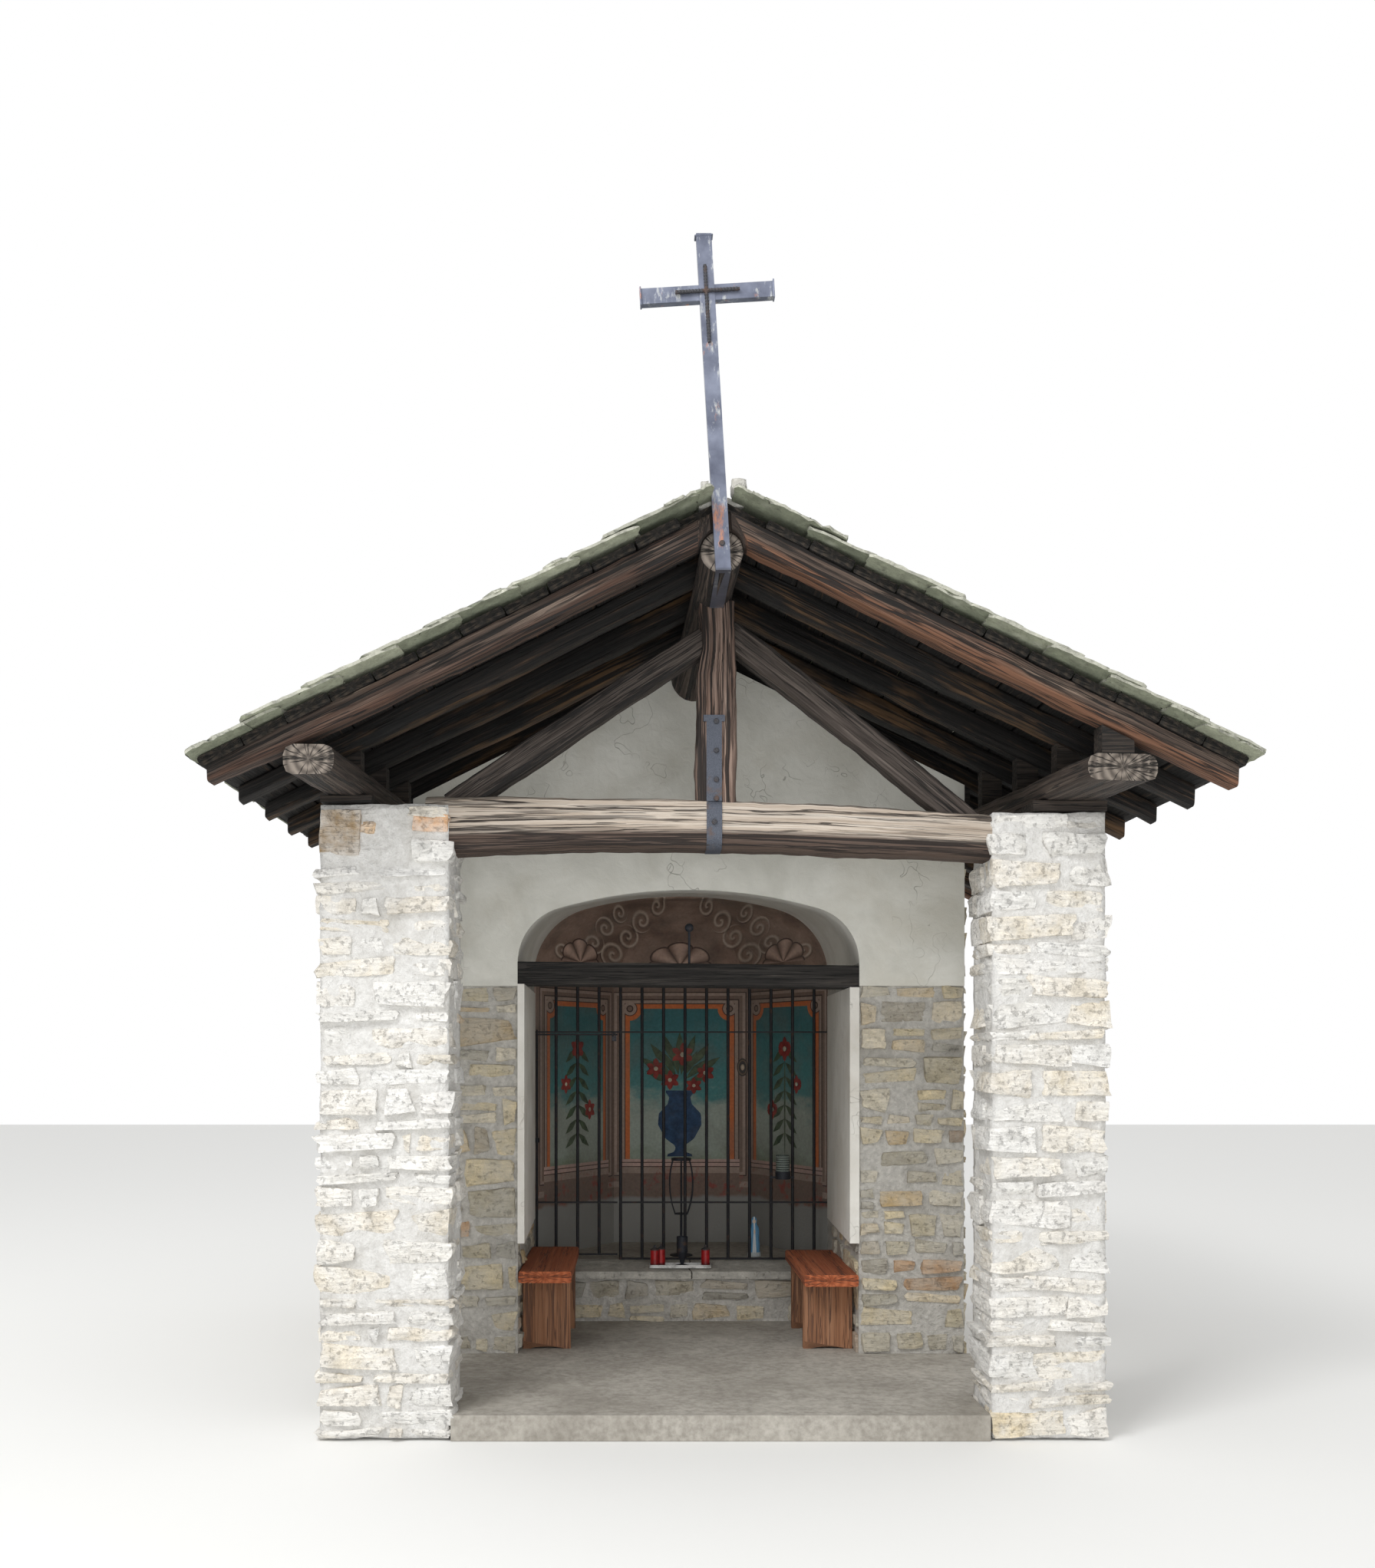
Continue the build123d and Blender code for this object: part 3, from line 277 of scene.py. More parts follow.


# The piers get near-white stone and coat colours, partly paler lime-washed stone and partly painted sunlight; the
# walls get the same stone's colours in painted shade
pierPalette = (
    (0.0, (232, 229, 222)), (0.16, (245, 243, 238)), (0.30, (240, 230, 212)), (0.44, (246, 244, 240)),
    (0.58, (238, 227, 206)), (0.74, (246, 245, 242)), (0.84, (232, 216, 184)), (0.90, (226, 160, 84)),
    (0.95, (166, 140, 104)), (1.0, (208, 204, 198)))
wallPalette = (
    (0.0, (146, 143, 134)), (0.14, (196, 185, 158)), (0.3, (216, 200, 164)), (0.44, (164, 161, 152)),
    (0.58, (192, 166, 122)), (0.72, (224, 214, 192)), (0.86, (184, 177, 160)), (0.94, (190, 150, 110)),
    (1.0, (132, 129, 121)))
pierStone = stoneMaterial("pierStone", pierPalette, (244, 243, 240), 0.6, 0.024, 0.14)
wallStone = stoneMaterial("wallStone", wallPalette, (188, 185, 177), 0.5, 0.016, 0.35)


def mortarMaterial(name, pale, dark, spot):
    coords = newMaterial(name, 0.93)
    dirt = useGroup(dirtGroup, Vector=coords, Scale=3.0, Amount=0.55)
    rough = noiseAt(coords, 34.0, 6, 0.7)
    color = blendColor(spread(rough, 0.35, 0.65), dark, pale)
    color = blendColor(dirt["Mask"] * 0.55, color, spot)
    return closeMaterial(color, rough + noiseAt(coords, 9.0, 4, 0.6, 1.0) * 1.6, 0.014)


# Pier mortar near-white, partly painted sunlight; wall mortar greyer, painted shade
pierMortar = mortarMaterial("pierMortar", (236, 235, 232), (212, 210, 206), (190, 186, 178))
wallMortar = mortarMaterial("wallMortar", (204, 201, 194), (172, 169, 163), (136, 131, 122))
print("masonry finishes ready")


def moveTo(place):
    return Matrix.Translation(place)


def stretchBy(size):
    return Matrix.Diagonal((*size, 1))


def turnBy(degrees, axis):
    return Matrix.Rotation(math.radians(degrees), 4, axis)


def fromAxes(x, y, z):
    return Matrix((x, y, z)).transposed().to_4x4()


def setMode(mode):
    bpy.ops.object.mode_set(mode=mode)


def clearSelection():
    if bpy.context.object and bpy.context.object.mode != "OBJECT":
        setMode("OBJECT")
    bpy.ops.object.select_all(action="DESELECT")


def pickOnly(piece):
    clearSelection()
    piece.select_set(True)
    bpy.context.view_layer.objects.active = piece


def addShape(operator, place=None, **values):
    # a new primitive with everything else deselected; place is a matrix that goes into its mesh
    clearSelection()
    operator(**values)
    piece = bpy.context.object
    if "rotation" in values:
        bpy.ops.object.transform_apply(location=True, rotation=True, scale=True)
    if place is not None:
        piece.data.transform(place)
    return piece


def addBox(place=None):
    return addShape(bpy.ops.mesh.primitive_cube_add, place, size=1)


def copyOf(shape):
    piece = shape.copy()
    piece.data = shape.data.copy()
    bpy.context.scene.collection.objects.link(piece)
    return piece


def dropPiece(piece):
    bpy.data.objects.remove(piece)


def smoothBelow(degrees):
    bpy.ops.object.shade_smooth_by_angle(angle=math.radians(degrees))


def readPoints(piece):
    points = np.empty(len(piece.data.vertices) * 3)
    piece.data.vertices.foreach_get("co", points)
    return points.reshape(-1, 3)


def writePoints(piece, points):
    piece.data.vertices.foreach_set("co", points.reshape(-1))


def markPiece(piece, name, values, kind="FLOAT", domain="POINT"):
    key = "value" if kind == "FLOAT" else "vector"
    piece.data.attributes.new(name, kind, domain).data.foreach_set(key, values)


def applyModifier(piece, kind, **values):
    pickOnly(piece)
    modifier = piece.modifiers.new("shape", kind)
    for key, value in values.items():
        setattr(modifier, key, value)
    bpy.ops.object.modifier_apply(modifier=modifier.name)


def cloudTexture(name, scale, depth):
    texture = bpy.data.textures.new(name, "CLOUDS")
    texture.noise_scale = scale
    texture.noise_depth = depth
    return texture


def roughen(piece, texture, depth):
    applyModifier(piece, "DISPLACE", texture=texture, strength=depth, mid_level=0.5, texture_coords="LOCAL")


def cutAway(piece, cutter):
    applyModifier(piece, "BOOLEAN", operation="DIFFERENCE", object=cutter, solver="EXACT")
    dropPiece(cutter)


def editLong(piece, least, operator, **values):
    # an edit on the edges that are longer than this along X
    setMode("EDIT")
    bpy.ops.mesh.select_mode(type="EDGE")
    bpy.ops.mesh.select_all(action="DESELECT")
    setMode("OBJECT")
    for edge in piece.data.edges:
        first, last = (piece.data.vertices[i].co for i in edge.vertices)
        edge.select = abs(first.x - last.x) > least
    setMode("EDIT")
    operator(**values)
    bpy.ops.mesh.select_mode(type="VERT")
    setMode("OBJECT")


def joinPieces(pieces, name, material, body="chapel"):
    clearSelection()
    for piece in pieces:
        piece.select_set(True)
    bpy.context.view_layer.objects.active = pieces[0]
    bpy.ops.object.join()
    whole = bpy.context.object
    whole.name = name
    whole.data.name = name
    whole.data.materials.clear()
    whole.data.materials.append(material)
    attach(whole, body)
    return whole


def finishNodes(material, *names):
    for name in names:
        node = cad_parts[name]
        node.data.materials.clear()
        node.data.materials.append(material)


# Rough blocks, split by hand: a few are shaped once and copied for every stone
blockShape = {"count": 14, "cuts": 3, "shake": 0.11, "ease": 0.42, "seed": 4, "smooth": 48}


def shapeBlock(index):
    block = addBox()
    setMode("EDIT")
    bpy.ops.mesh.select_all(action="SELECT")
    bpy.ops.mesh.subdivide(number_cuts=blockShape["cuts"])
    bpy.ops.transform.vertex_random(offset=blockShape["shake"], seed=blockShape["seed"] + index)
    bpy.ops.mesh.vertices_smooth(factor=blockShape["ease"], repeat=1)
    setMode("OBJECT")
    smoothBelow(blockShape["smooth"])
    block.data.transform(stretchBy(1.0 / np.array(block.dimensions)))
    return block


blocks = [shapeBlock(index) for index in range(blockShape["count"])]


def setStone(rng, corners, frontAxis, tone=None):
    # corners: low and high of a box; the block fills it, a little askew, and gets its own tone
    low, high = Vector(corners[0]), Vector(corners[1])
    size, middle = high - low, (low + high) / 2
    stone = copyOf(rng.choice(blocks))
    mirror = turnBy(rng.choice((0, 180)), frontAxis)
    lean = turnBy(rng.uniform(-4.5, 4.5), frontAxis)
    stone.data.transform(moveTo(middle) @ lean @ stretchBy(size) @ mirror)
    points = readPoints(stone)
    along = 0 if frontAxis == "Y" else 1
    u = (points[:, along] - middle[along]) / max(size[along], 0.01)
    v = (points[:, 2] - middle.z) / max(size.z, 0.01)
    points[:, 2] += u * v * size.z * rng.uniform(-0.5, 0.5)
    points[:, along] += u * v * size.z * rng.uniform(-0.6, 0.6)
    points[:, 1 - along] += v * rng.uniform(-0.02, 0.02)
    writePoints(stone, points)
    markPiece(stone, "stoneTone", np.full(len(points), rng.random() if tone is None else tone))
    return stone


def courseLevels(rng, low, high, thin, thick):
    levels = [low]
    while levels[-1] < high - thin * 0.8:
        levels.append(levels[-1] + rng.uniform(thin, thick))
    levels[-1] = high
    return levels


runWork = {"least": 0.05, "rest": 0.07, "waver": 0.012, "splitFrom": 0.1, "splitShare": 0.28, "gapShare": 0.04}


def fillRun(rng, start, end, z0, z1, place, long, joint):
    # splits one course into stones from start to end; place(a, b, low, high) gives a stone's box
    boxes = []
    waver, splitFrom = runWork["waver"], runWork["splitFrom"]
    at = start
    while at < end - runWork["least"]:
        width = min(rng.uniform(*long) * (0.75 + 2.2 * (z1 - z0)), end - at)
        if end - at - width < runWork["rest"]:
            width = end - at
        a, b = at + joint / 2, at + width - joint / 2
        low, high = z0 + rng.uniform(-waver, waver), z1 + rng.uniform(-waver, waver)
        if high - low > splitFrom and width > splitFrom and rng.random() < runWork["splitShare"]:
            middle = low + (high - low) * rng.uniform(0.4, 0.6)
            boxes.append(place(a, b, low, middle - joint / 3))
            boxes.append(place(a, b, middle + joint / 3, high))
        elif rng.random() > runWork["gapShare"]:
            boxes.append(place(a, b, low, high))
        at += width
    return boxes


def keepAbove(piece, low=0.001):
    # no stone reaches below the ground
    for vertex in piece.data.vertices:
        vertex.co.z = max(vertex.co.z, low)


mortarWave = cloudTexture("mortarWave", 0.14, 2)
mortarGrit = cloudTexture("mortarGrit", 0.04, 1)
splitTexture = cloudTexture("splitFaces", 0.05, 2)


def layCoat(name, low, high, cell, depth, material):
    # mortar that swells and sinks between the stones, from a box cut into cells
    size = Vector(high) - Vector(low)
    coat = addBox(moveTo((Vector(low) + Vector(high)) / 2) @ stretchBy(size))
    for axis in range(3):
        plane = [0, 0, 0]
        plane[axis] = 1
        steps = max(int(size[axis] / cell), 1)
        setMode("EDIT")
        for step in range(1, steps):
            at = list(low)
            at[axis] = low[axis] + size[axis] * step / steps
            bpy.ops.mesh.select_all(action="SELECT")
            bpy.ops.mesh.bisect(plane_co=at, plane_no=plane)
        setMode("OBJECT")
    roughen(coat, mortarWave, depth)
    roughen(coat, mortarGrit, depth * 0.35)
    pickOnly(coat)
    bpy.ops.object.shade_smooth()
    return joinPieces([coat], name, material)


# Piers: long and short quoins by turns, with rubble between them
pierWork = {
    "thin": 0.055, "thick": 0.150, "joint": 0.016, "proud": 0.024, "inset": (0.012, 0.012, 0.011),
    "insetTop": (0.012, 0.012, 0.010), "deep": 0.10, "coat": 0.018, "cell": 0.032, "long": (0.11, 0.27),
    "quoinLong": 0.38, "quoinShort": 0.20, "quoinDeep": 0.72, "break": 0.020, "plain": 0.875, "seed": 21,
    "left": (((-1.866, 2.728), (-1.660, 2.945), 0.95), ((-1.432, 2.835), (-1.250, 2.924), 0.90)), "right": ()}


def buildPier(hand, low, high, seed):
    rng = random.Random(seed)
    stones = []
    marked = pierWork[hand]
    proud, deep, joint = pierWork["proud"], pierWork["deep"], pierWork["joint"]

    def lay(box, axis):
        # leaves the places of the marked stones free
        (ax, ay, az), (bx, _, bz) = box
        for (x0, z0), (x1, z1), tone in marked:
            beside = ax > x1 - 0.03 or bx < x0 + 0.03 or az > z1 - 0.03 or bz < z0 + 0.03
            if axis == "Y" and ay < low.y + 0.01 and not beside:
                return
        stones.append(setStone(rng, box, axis, rng.random() * pierWork["plain"]))

    for (x0, z0), (x1, z1), tone in marked:
        stones.append(setStone(rng, ((x0, low.y - 0.016, z0), (x1, low.y + 0.16, z1)), "Y", tone))
    levels = courseLevels(rng, low.z + 0.006, high.z - 0.012, pierWork["thin"], pierWork["thick"])
    for index, (z0, z1) in enumerate(zip(levels, levels[1:])):
        z0, z1 = z0 + joint / 2, z1 - joint / 2
        lengths = {}
        for sx in (0, 1):
            for sy in (0, 1):
                acrossX, acrossY = pierWork["quoinShort"], pierWork["quoinLong"] * pierWork["quoinDeep"]
                if (index + sx + sy) % 2 == 0:
                    acrossX, acrossY = pierWork["quoinLong"], pierWork["quoinShort"]
                acrossX, acrossY = acrossX * rng.uniform(0.75, 1.1), acrossY * rng.uniform(0.8, 1.1)
                outX, outY = rng.uniform(-0.006, proud), rng.uniform(-0.004, proud)
                x = (high.x - acrossX, high.x + outX) if sx else (low.x - outX, low.x + acrossX)
                y = (high.y - acrossY, high.y + outY) if sy else (low.y - outY, low.y + acrossY)
                lay(((x[0], y[0], z0), (x[1], y[1], z1)), "Y")
                lengths[sx, sy] = (acrossX, acrossY)
        for run, axis in ((0, "Y"), (1, "X")):
            for far in (0, 1):
                face = (low, high)[far][1 - run]

                def place(a, b, c, d):
                    out = rng.uniform(-0.005, proud)
                    near, back = (face - deep, face + out) if far else (face - out, face + deep)
                    return ((near, a, c), (back, b, d)) if run else ((a, near, c), (b, back, d))
                first, last = (lengths[(far, k) if run else (k, far)][run] for k in (0, 1))
                start, end = low[run] + first + joint, high[run] - last - joint
                for box in fillRun(rng, start, end, z0, z1, place, pierWork["long"], joint):
                    lay(box, axis)
    pier = joinPieces(stones, hand + "PierStones", pierStone)
    roughen(pier, splitTexture, pierWork["break"])
    keepAbove(pier)
    return pier


for hand in ("left", "right"):
    low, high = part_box(hand + "_pier")
    low, high = Vector(low) + Vector(pierWork["inset"]), Vector(high) - Vector(pierWork["insetTop"])
    coat = layCoat(hand + "PierMortar", low, high, pierWork["cell"], pierWork["coat"], pierMortar)
    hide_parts(hand + "_pier")
for step, hand in enumerate(("left", "right")):
    piece = buildPier(hand, *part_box(hand + "_pier"), pierWork["seed"] + step)
    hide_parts(hand + "_pier")
    print(hand, "pier laid:", len(piece.data.polygons))

# Body walls: front stubs beside the bay, outer sides, back and the parapet under the sill
wallWork = {
    "thin": 0.060, "thick": 0.20, "joint": 0.026, "proud": 0.028, "deep": 0.09, "long": (0.10, 0.34), "break": 0.012,
    "seed": 60, "plasterEdge": 2.19, "liningFoot": 0.75, "porchFoot": 0.12, "foot": 0.008, "sillFoot": 0.385,
    "jambEnd": 2.34, "over": 0.01, "overBay": 0.006, "gableSlope": 0.4986, "ridgeX": -0.011, "gableDrop": 0.02}


def buildWall(axis, face, outward, run, low, top, step):
    # axis is the way the wall runs, face its plane, outward +1 or -1, top a height or a function
    rng = random.Random(wallWork["seed"] + step)
    proud, deep, joint = wallWork["proud"], wallWork["deep"], wallWork["joint"]
    topAt = top if callable(top) else lambda at: top
    along = 0 if axis == "X" else 1
    stones = []

    def place(a, b, c, d):
        out = rng.uniform(proud * 0.3, proud)
        near, far = sorted((face + outward * out, face - outward * deep))
        return ((near, a, c), (far, b, d)) if along else ((a, near, c), (b, far, d))

    levels = courseLevels(rng, low, topAt((run[0] + run[1]) / 2) + 0.01, wallWork["thin"], wallWork["thick"])
    for z0, z1 in zip(levels, levels[1:]):
        z0, z1 = z0 + joint / 2, z1 - joint / 2
        for first, last in fillRun(rng, run[0], run[1], z0, z1, place, wallWork["long"], joint):
            limit = min(topAt(first[along]), topAt(last[along]))
            if first[2] <= limit - 0.05:
                last = (last[0], last[1], min(last[2], limit - 0.004))
                stones.append(setStone(rng, (first, last), "X" if along else "Y"))
    return stones


leftWall, rightWall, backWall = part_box("left_side_wall"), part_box("right_side_wall"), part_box("back_wall")
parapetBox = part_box("parapet")
over, overBay, porchFoot, foot = (wallWork[key] for key in ("over", "overBay", "porchFoot", "foot"))


def gableTop(x):
    return backWall[1].z - wallWork["gableSlope"] * abs(x - wallWork["ridgeX"]) - wallWork["gableDrop"]


wallFaces = {
    "frontWallStones": (
        ("X", leftWall[0].y, -1, (leftWall[0].x - over, leftWall[1].x + overBay), porchFoot,
         wallWork["plasterEdge"], 0),
        ("X", rightWall[0].y, -1, (rightWall[0].x - overBay, rightWall[1].x + over), porchFoot,
         wallWork["plasterEdge"], 1)),
    "jambStones": (
        ("Y", leftWall[1].x, 1, (leftWall[0].y, wallWork["jambEnd"]), porchFoot, wallWork["liningFoot"], 2),
        ("Y", rightWall[0].x, -1, (rightWall[0].y, wallWork["jambEnd"]), porchFoot, wallWork["liningFoot"], 3)),
    "parapetStones": (
        ("X", parapetBox[0].y, -1, (parapetBox[0].x, parapetBox[1].x), porchFoot, wallWork["sillFoot"], 4),),
    "leftWallStones": (
        ("Y", leftWall[0].x, -1, (leftWall[0].y - over, backWall[1].y + over), foot, leftWall[1].z, 5),),
    "rightWallStones": (
        ("Y", rightWall[1].x, 1, (rightWall[0].y - over, backWall[1].y + over), foot, rightWall[1].z, 6),),
    "backWallStones": (
        ("X", backWall[1].y, 1, (backWall[0].x - over, backWall[1].x + over), foot, gableTop, 8),)}
for name, faces in wallFaces.items():
    piece = joinPieces([stone for face in faces for stone in buildWall(*face)], name, wallStone)
    roughen(piece, splitTexture, wallWork["break"])
    keepAbove(piece)
    print(name, "laid:", len(piece.data.polygons))
for block in blocks:
    dropPiece(block)
finishNodes(wallMortar, "left_side_wall", "right_side_wall", "parapet", "front_gable")


# Timber: every hewn piece keeps its own grain place, a tone and a mark on its sawn ends
def timberMaterial(name, colors, crackColor, endColors, cracks=9.0, grain=62.0, bump=0.012, redShare=0.0, turn=None,
                   fineness=1.6, stretch=0.030, lower=None, redTone=(150, 84, 44)):
    coords = newMaterial(name, 0.84)
    if turn is None:
        place, tone = readMark("grainPlace", "Vector"), readMark("timberTone")
    else:
        place = mapVector(coords, turn=(0, 0, math.radians(turn)), kind="TEXTURE")
        tone = noiseAt(coords, 0.9, 2)
    squeezed = mapVector(place, scale=(stretch, 1, 1))
    wood = useGroup(grainGroup, Vector=squeezed, Grain=grain, Cracks=cracks, Fineness=fineness)
    shade = spread(tone * 0.6 + wood["Broad"], 0.4, 1.2, 0.66, 1.3)
    color = scaleColor(rampColor(wood["Streak"], tuple(zip((0.30, 0.46, 0.58, 0.74), colors))), shade)
    if redShare:
        red = noiseAt(mapVector(place, scale=(0.25, 1, 1)), 6.5, 4, 0.6)
        color = blendColor(spread(red, 0.52, 0.66, 0.0, redShare), color, redTone)
    if lower:
        # a band along the lower edge in a tone of its own; on the tie beam this dark band is partly unbleached wood
        # and partly painted shade under its rounded underside
        upright = splitAxes(place)[2] + noiseAt(squeezed, 14.0, 4) * lower["ragged"]
        band = spread(upright, lower["edge"] + 0.012, lower["edge"] - 0.012, 0.0, lower["share"])
        color = blendColor(band, color, scaleColor(blendColor(wood["Streak"], lower["dark"], lower["light"]), shade))
    color = blendColor(wood["Crack"] * 0.94, color, crackColor)
    height = wood["Height"]
    if turn is None:
        ends = readMark("sawnEnd")
        x, y, z = splitAxes(place)
        sawn = useGroup(endGroup, Vector=addNode("ShaderNodeCombineXYZ", {0: y, 2: z}), Rings=150.0)
        endTone = blendColor(sawn["Crack"], blendColor(sawn["Ring"], *endColors), crackColor)
        color = blendColor(ends, color, endTone)
        endHeight = sawn["Ring"] * 0.2 - sawn["Crack"]
        height = addNode("ShaderNodeMix", {0: ends, 2: height, 3: endHeight}, data_type="FLOAT")
    return closeMaterial(color, height, bump, Roughness=spread(wood["Streak"], 0.3, 0.7, 0.92, 0.7))


paleEnd = ((128, 118, 106), (182, 174, 162))
brownEnd = ((84, 66, 52), (118, 98, 78))
# The tie beam's dark lower band is partly unbleached wood and partly painted shade on its rounded underside
beamTimber = timberMaterial(
    "beamTimber", ((150, 135, 120), (182, 168, 153), (200, 189, 176), (216, 208, 197)), (34, 26, 22), paleEnd, 12.0,
    90.0, fineness=1.3, stretch=0.020,
    lower={"edge": -0.030, "ragged": 0.02, "share": 0.94, "dark": (38, 26, 22), "light": (96, 75, 64)})
postTimber = timberMaterial(
    "postTimber", ((62, 49, 43), (106, 87, 77), (140, 119, 107), (178, 162, 148)), (20, 15, 13), paleEnd,
    redShare=0.12, fineness=1.3)
strutTimber = timberMaterial(
    "strutTimber", ((38, 31, 28), (62, 54, 49), (84, 75, 69), (124, 114, 106)), (15, 12, 11), brownEnd, fineness=1.5)
leftVergeTimber = timberMaterial(
    "leftVergeTimber", ((30, 24, 21), (58, 47, 41), (86, 72, 63), (146, 129, 116)), (12, 9, 8), brownEnd,
    redShare=0.1, fineness=1.5,
    lower={"edge": -0.010, "ragged": 0.03, "share": 0.5, "dark": (28, 19, 16), "light": (106, 72, 54)})
rightVergeTimber = timberMaterial(
    "rightVergeTimber", ((38, 31, 27), (74, 61, 53), (102, 86, 75), (146, 126, 110)), (14, 11, 10), brownEnd,
    redShare=0.15, fineness=1.5,
    lower={"edge": 0.000, "ragged": 0.03, "share": 0.8, "dark": (46, 29, 22), "light": (146, 98, 68)})
# The inner rafters and deck planks under the roof get near-black wood colours: painted shade of the deep roof shadow
shadedInnerTimber = timberMaterial(
    "shadedInnerTimber", ((8, 7, 6), (16, 13, 11), (28, 22, 18), (92, 68, 46)), (5, 4, 4), ((44, 36, 30), (78, 66, 54)),
    8.0, redShare=0.36, redTone=(150, 112, 72))
shadedPlankTimber = timberMaterial(
    "shadedPlankTimber", ((8, 7, 6), (14, 12, 10), (24, 20, 17), (82, 62, 40)), (4, 4, 3), ((30, 26, 22), (56, 48, 40)))
logTimber = timberMaterial(
    "logTimber", ((34, 28, 24), (58, 48, 42), (80, 69, 61), (116, 104, 92)), (15, 12, 10),
    ((86, 78, 71), (134, 124, 114)), fineness=1.4)

hewing = {"waveDepth": 0.022, "chipDepth": 0.007, "grainStep": 7.3, "smooth": 38}
waveTexture = cloudTexture("hewnWave", 0.55, 1)
chipTexture = cloudTexture("hewnChips", 0.07, 1)
timberCount = [0]


def hewTimber(length, width, height, place, ease=0.02, cuts=18, wave=1.0, chips=1.0, tone=0.5, stations=None,
              sides=4):
    # a squared timber or a log along X, its arrises worn, moved to its place by a matrix, then made uneven
    size = stretchBy((length, width, height))
    if sides == 4:
        timber = addBox(size)
        editLong(timber, length / 2, bpy.ops.mesh.bevel, offset=ease, segments=2, affect="EDGES")
    else:
        timber = addShape(
            bpy.ops.mesh.primitive_cylinder_add, size, vertices=sides, radius=0.5, depth=1,
            rotation=(0, math.radians(90), 0))
    editLong(timber, length / 2, bpy.ops.mesh.subdivide, number_cuts=cuts)
    timberCount[0] += 1
    points = readPoints(timber)
    grainPlace = points.copy()
    grainPlace[:, 0] += timberCount[0] * hewing["grainStep"]
    markPiece(timber, "grainPlace", grainPlace.reshape(-1), "FLOAT_VECTOR")
    markPiece(timber, "timberTone", np.full(len(points), tone))
    marks = [1.0 if abs(face.normal.x) > 0.9 else 0.0 for face in timber.data.polygons]
    markPiece(timber, "sawnEnd", marks, "FLOAT", "FACE")
    if stations:
        # each station: place along X, middle across and upright, width, height
        at, middleY, middleZ, widths, heights = np.array(stations).T
        points[:, 1] *= np.interp(points[:, 0], at, widths) / width
        points[:, 2] *= np.interp(points[:, 0], at, heights) / height
        points[:, 1] += np.interp(points[:, 0], at, middleY)
        points[:, 2] += np.interp(points[:, 0], at, middleZ)
        writePoints(timber, points)
    timber.data.transform(place)
    roughen(timber, waveTexture, hewing["waveDepth"] * wave)
    roughen(timber, chipTexture, hewing["chipDepth"] * chips)
    pickOnly(timber)
    smoothBelow(hewing["smooth"])
    return timber


def between(start, end, up=(0, 0, 1)):
    # matrix that takes the X axis to the line from start to end, centred on its middle
    start, end = Vector(start), Vector(end)
    along = (end - start).normalized()
    side = Vector(up).cross(along).normalized()
    return moveTo((start + end) / 2) @ fromAxes(along, side, along.cross(side)), (end - start).length


# Roof lines as they are built: heights at the ridge, falling on both sides
roofLines = {
    "ridgeX": -0.011, "pitch": math.radians(26.5), "slope": math.tan(math.radians(26.5)), "rafterUnder": 4.045,
    "rafterRise": 0.120, "deckRise": 0.052, "rafterRun": 2.226, "deckRun": 2.265, "slabRun": 2.302,
    "deckFront": -0.500, "deckBack": 4.200, "slabFront": -0.600, "slabBack": 4.250}
cosPitch, sinPitch = math.cos(roofLines["pitch"]), math.sin(roofLines["pitch"])
ridgeX = roofLines["ridgeX"]
vergeWork = {
    "left": {"tail": 0.074, "purlin": 0.108}, "right": {"tail": 0.096, "purlin": 0.114}, "foot": 0.62, "mid": 0.122,
    "ridge": 0.117, "front": -0.480, "back": 4.060, "width": 0.120, "innerWidth": 0.110, "spacing": 0.470, "count": 9,
    "seed": 7}


def setRafter(side, y, width, tone, cuts=16, wave=1.0, tail=None):
    run, rise = roofLines["rafterRun"], roofLines["rafterRise"]
    shear = Matrix.Identity(4)  # a level box becomes a rafter with upright ends
    shear[2][0] = -side * roofLines["slope"]
    place = moveTo((ridgeX, y + width / 2, roofLines["rafterUnder"] + rise / 2)) @ shear @ moveTo(
        (side * run / 2, 0, 0))
    stations = None
    if tail:
        # the upper edge stays straight, the lower one rises towards the eave
        heights = ((-run / 2, vergeWork["ridge"]), (0, vergeWork["mid"]),
                   (run / 2 - vergeWork["foot"], tail["purlin"]), (run / 2, tail["tail"]))
        stations = sorted((side * x, 0, (rise - h) / 2, width, h) for x, h in heights)
    return hewTimber(run, width, rise, place, 0.018, cuts, wave, 1.4, tone, stations)


crossSlot = {
    "lean": math.tan(math.radians(3.4)), "logX": -0.013, "logZ": 3.984, "logRoom": 0.097, "logDeep": 0.4,
    "half": 0.047, "back": -0.438, "deep": 0.5, "middle": 4.15, "high": 0.9}


def crossAt(z):
    return crossSlot["logX"] - crossSlot["lean"] * (z - crossSlot["logZ"])


def cutSlot(piece):
    # opens the verge where the cross rises in front of the ridge log
    lean = Matrix.Identity(4)
    lean[0][2] = -crossSlot["lean"]
    middle, deep = crossSlot["middle"], crossSlot["deep"]
    cutAway(piece, addBox(moveTo((crossAt(middle), crossSlot["back"] - deep / 2, middle)) @ lean @ stretchBy(
        (2 * crossSlot["half"], deep, crossSlot["high"]))))
    cutAway(piece, addShape(
        bpy.ops.mesh.primitive_cylinder_add,
        moveTo((crossSlot["logX"], -0.5, crossSlot["logZ"])) @ turnBy(90, "X"),
        vertices=40, radius=crossSlot["logRoom"], depth=crossSlot["logDeep"]))


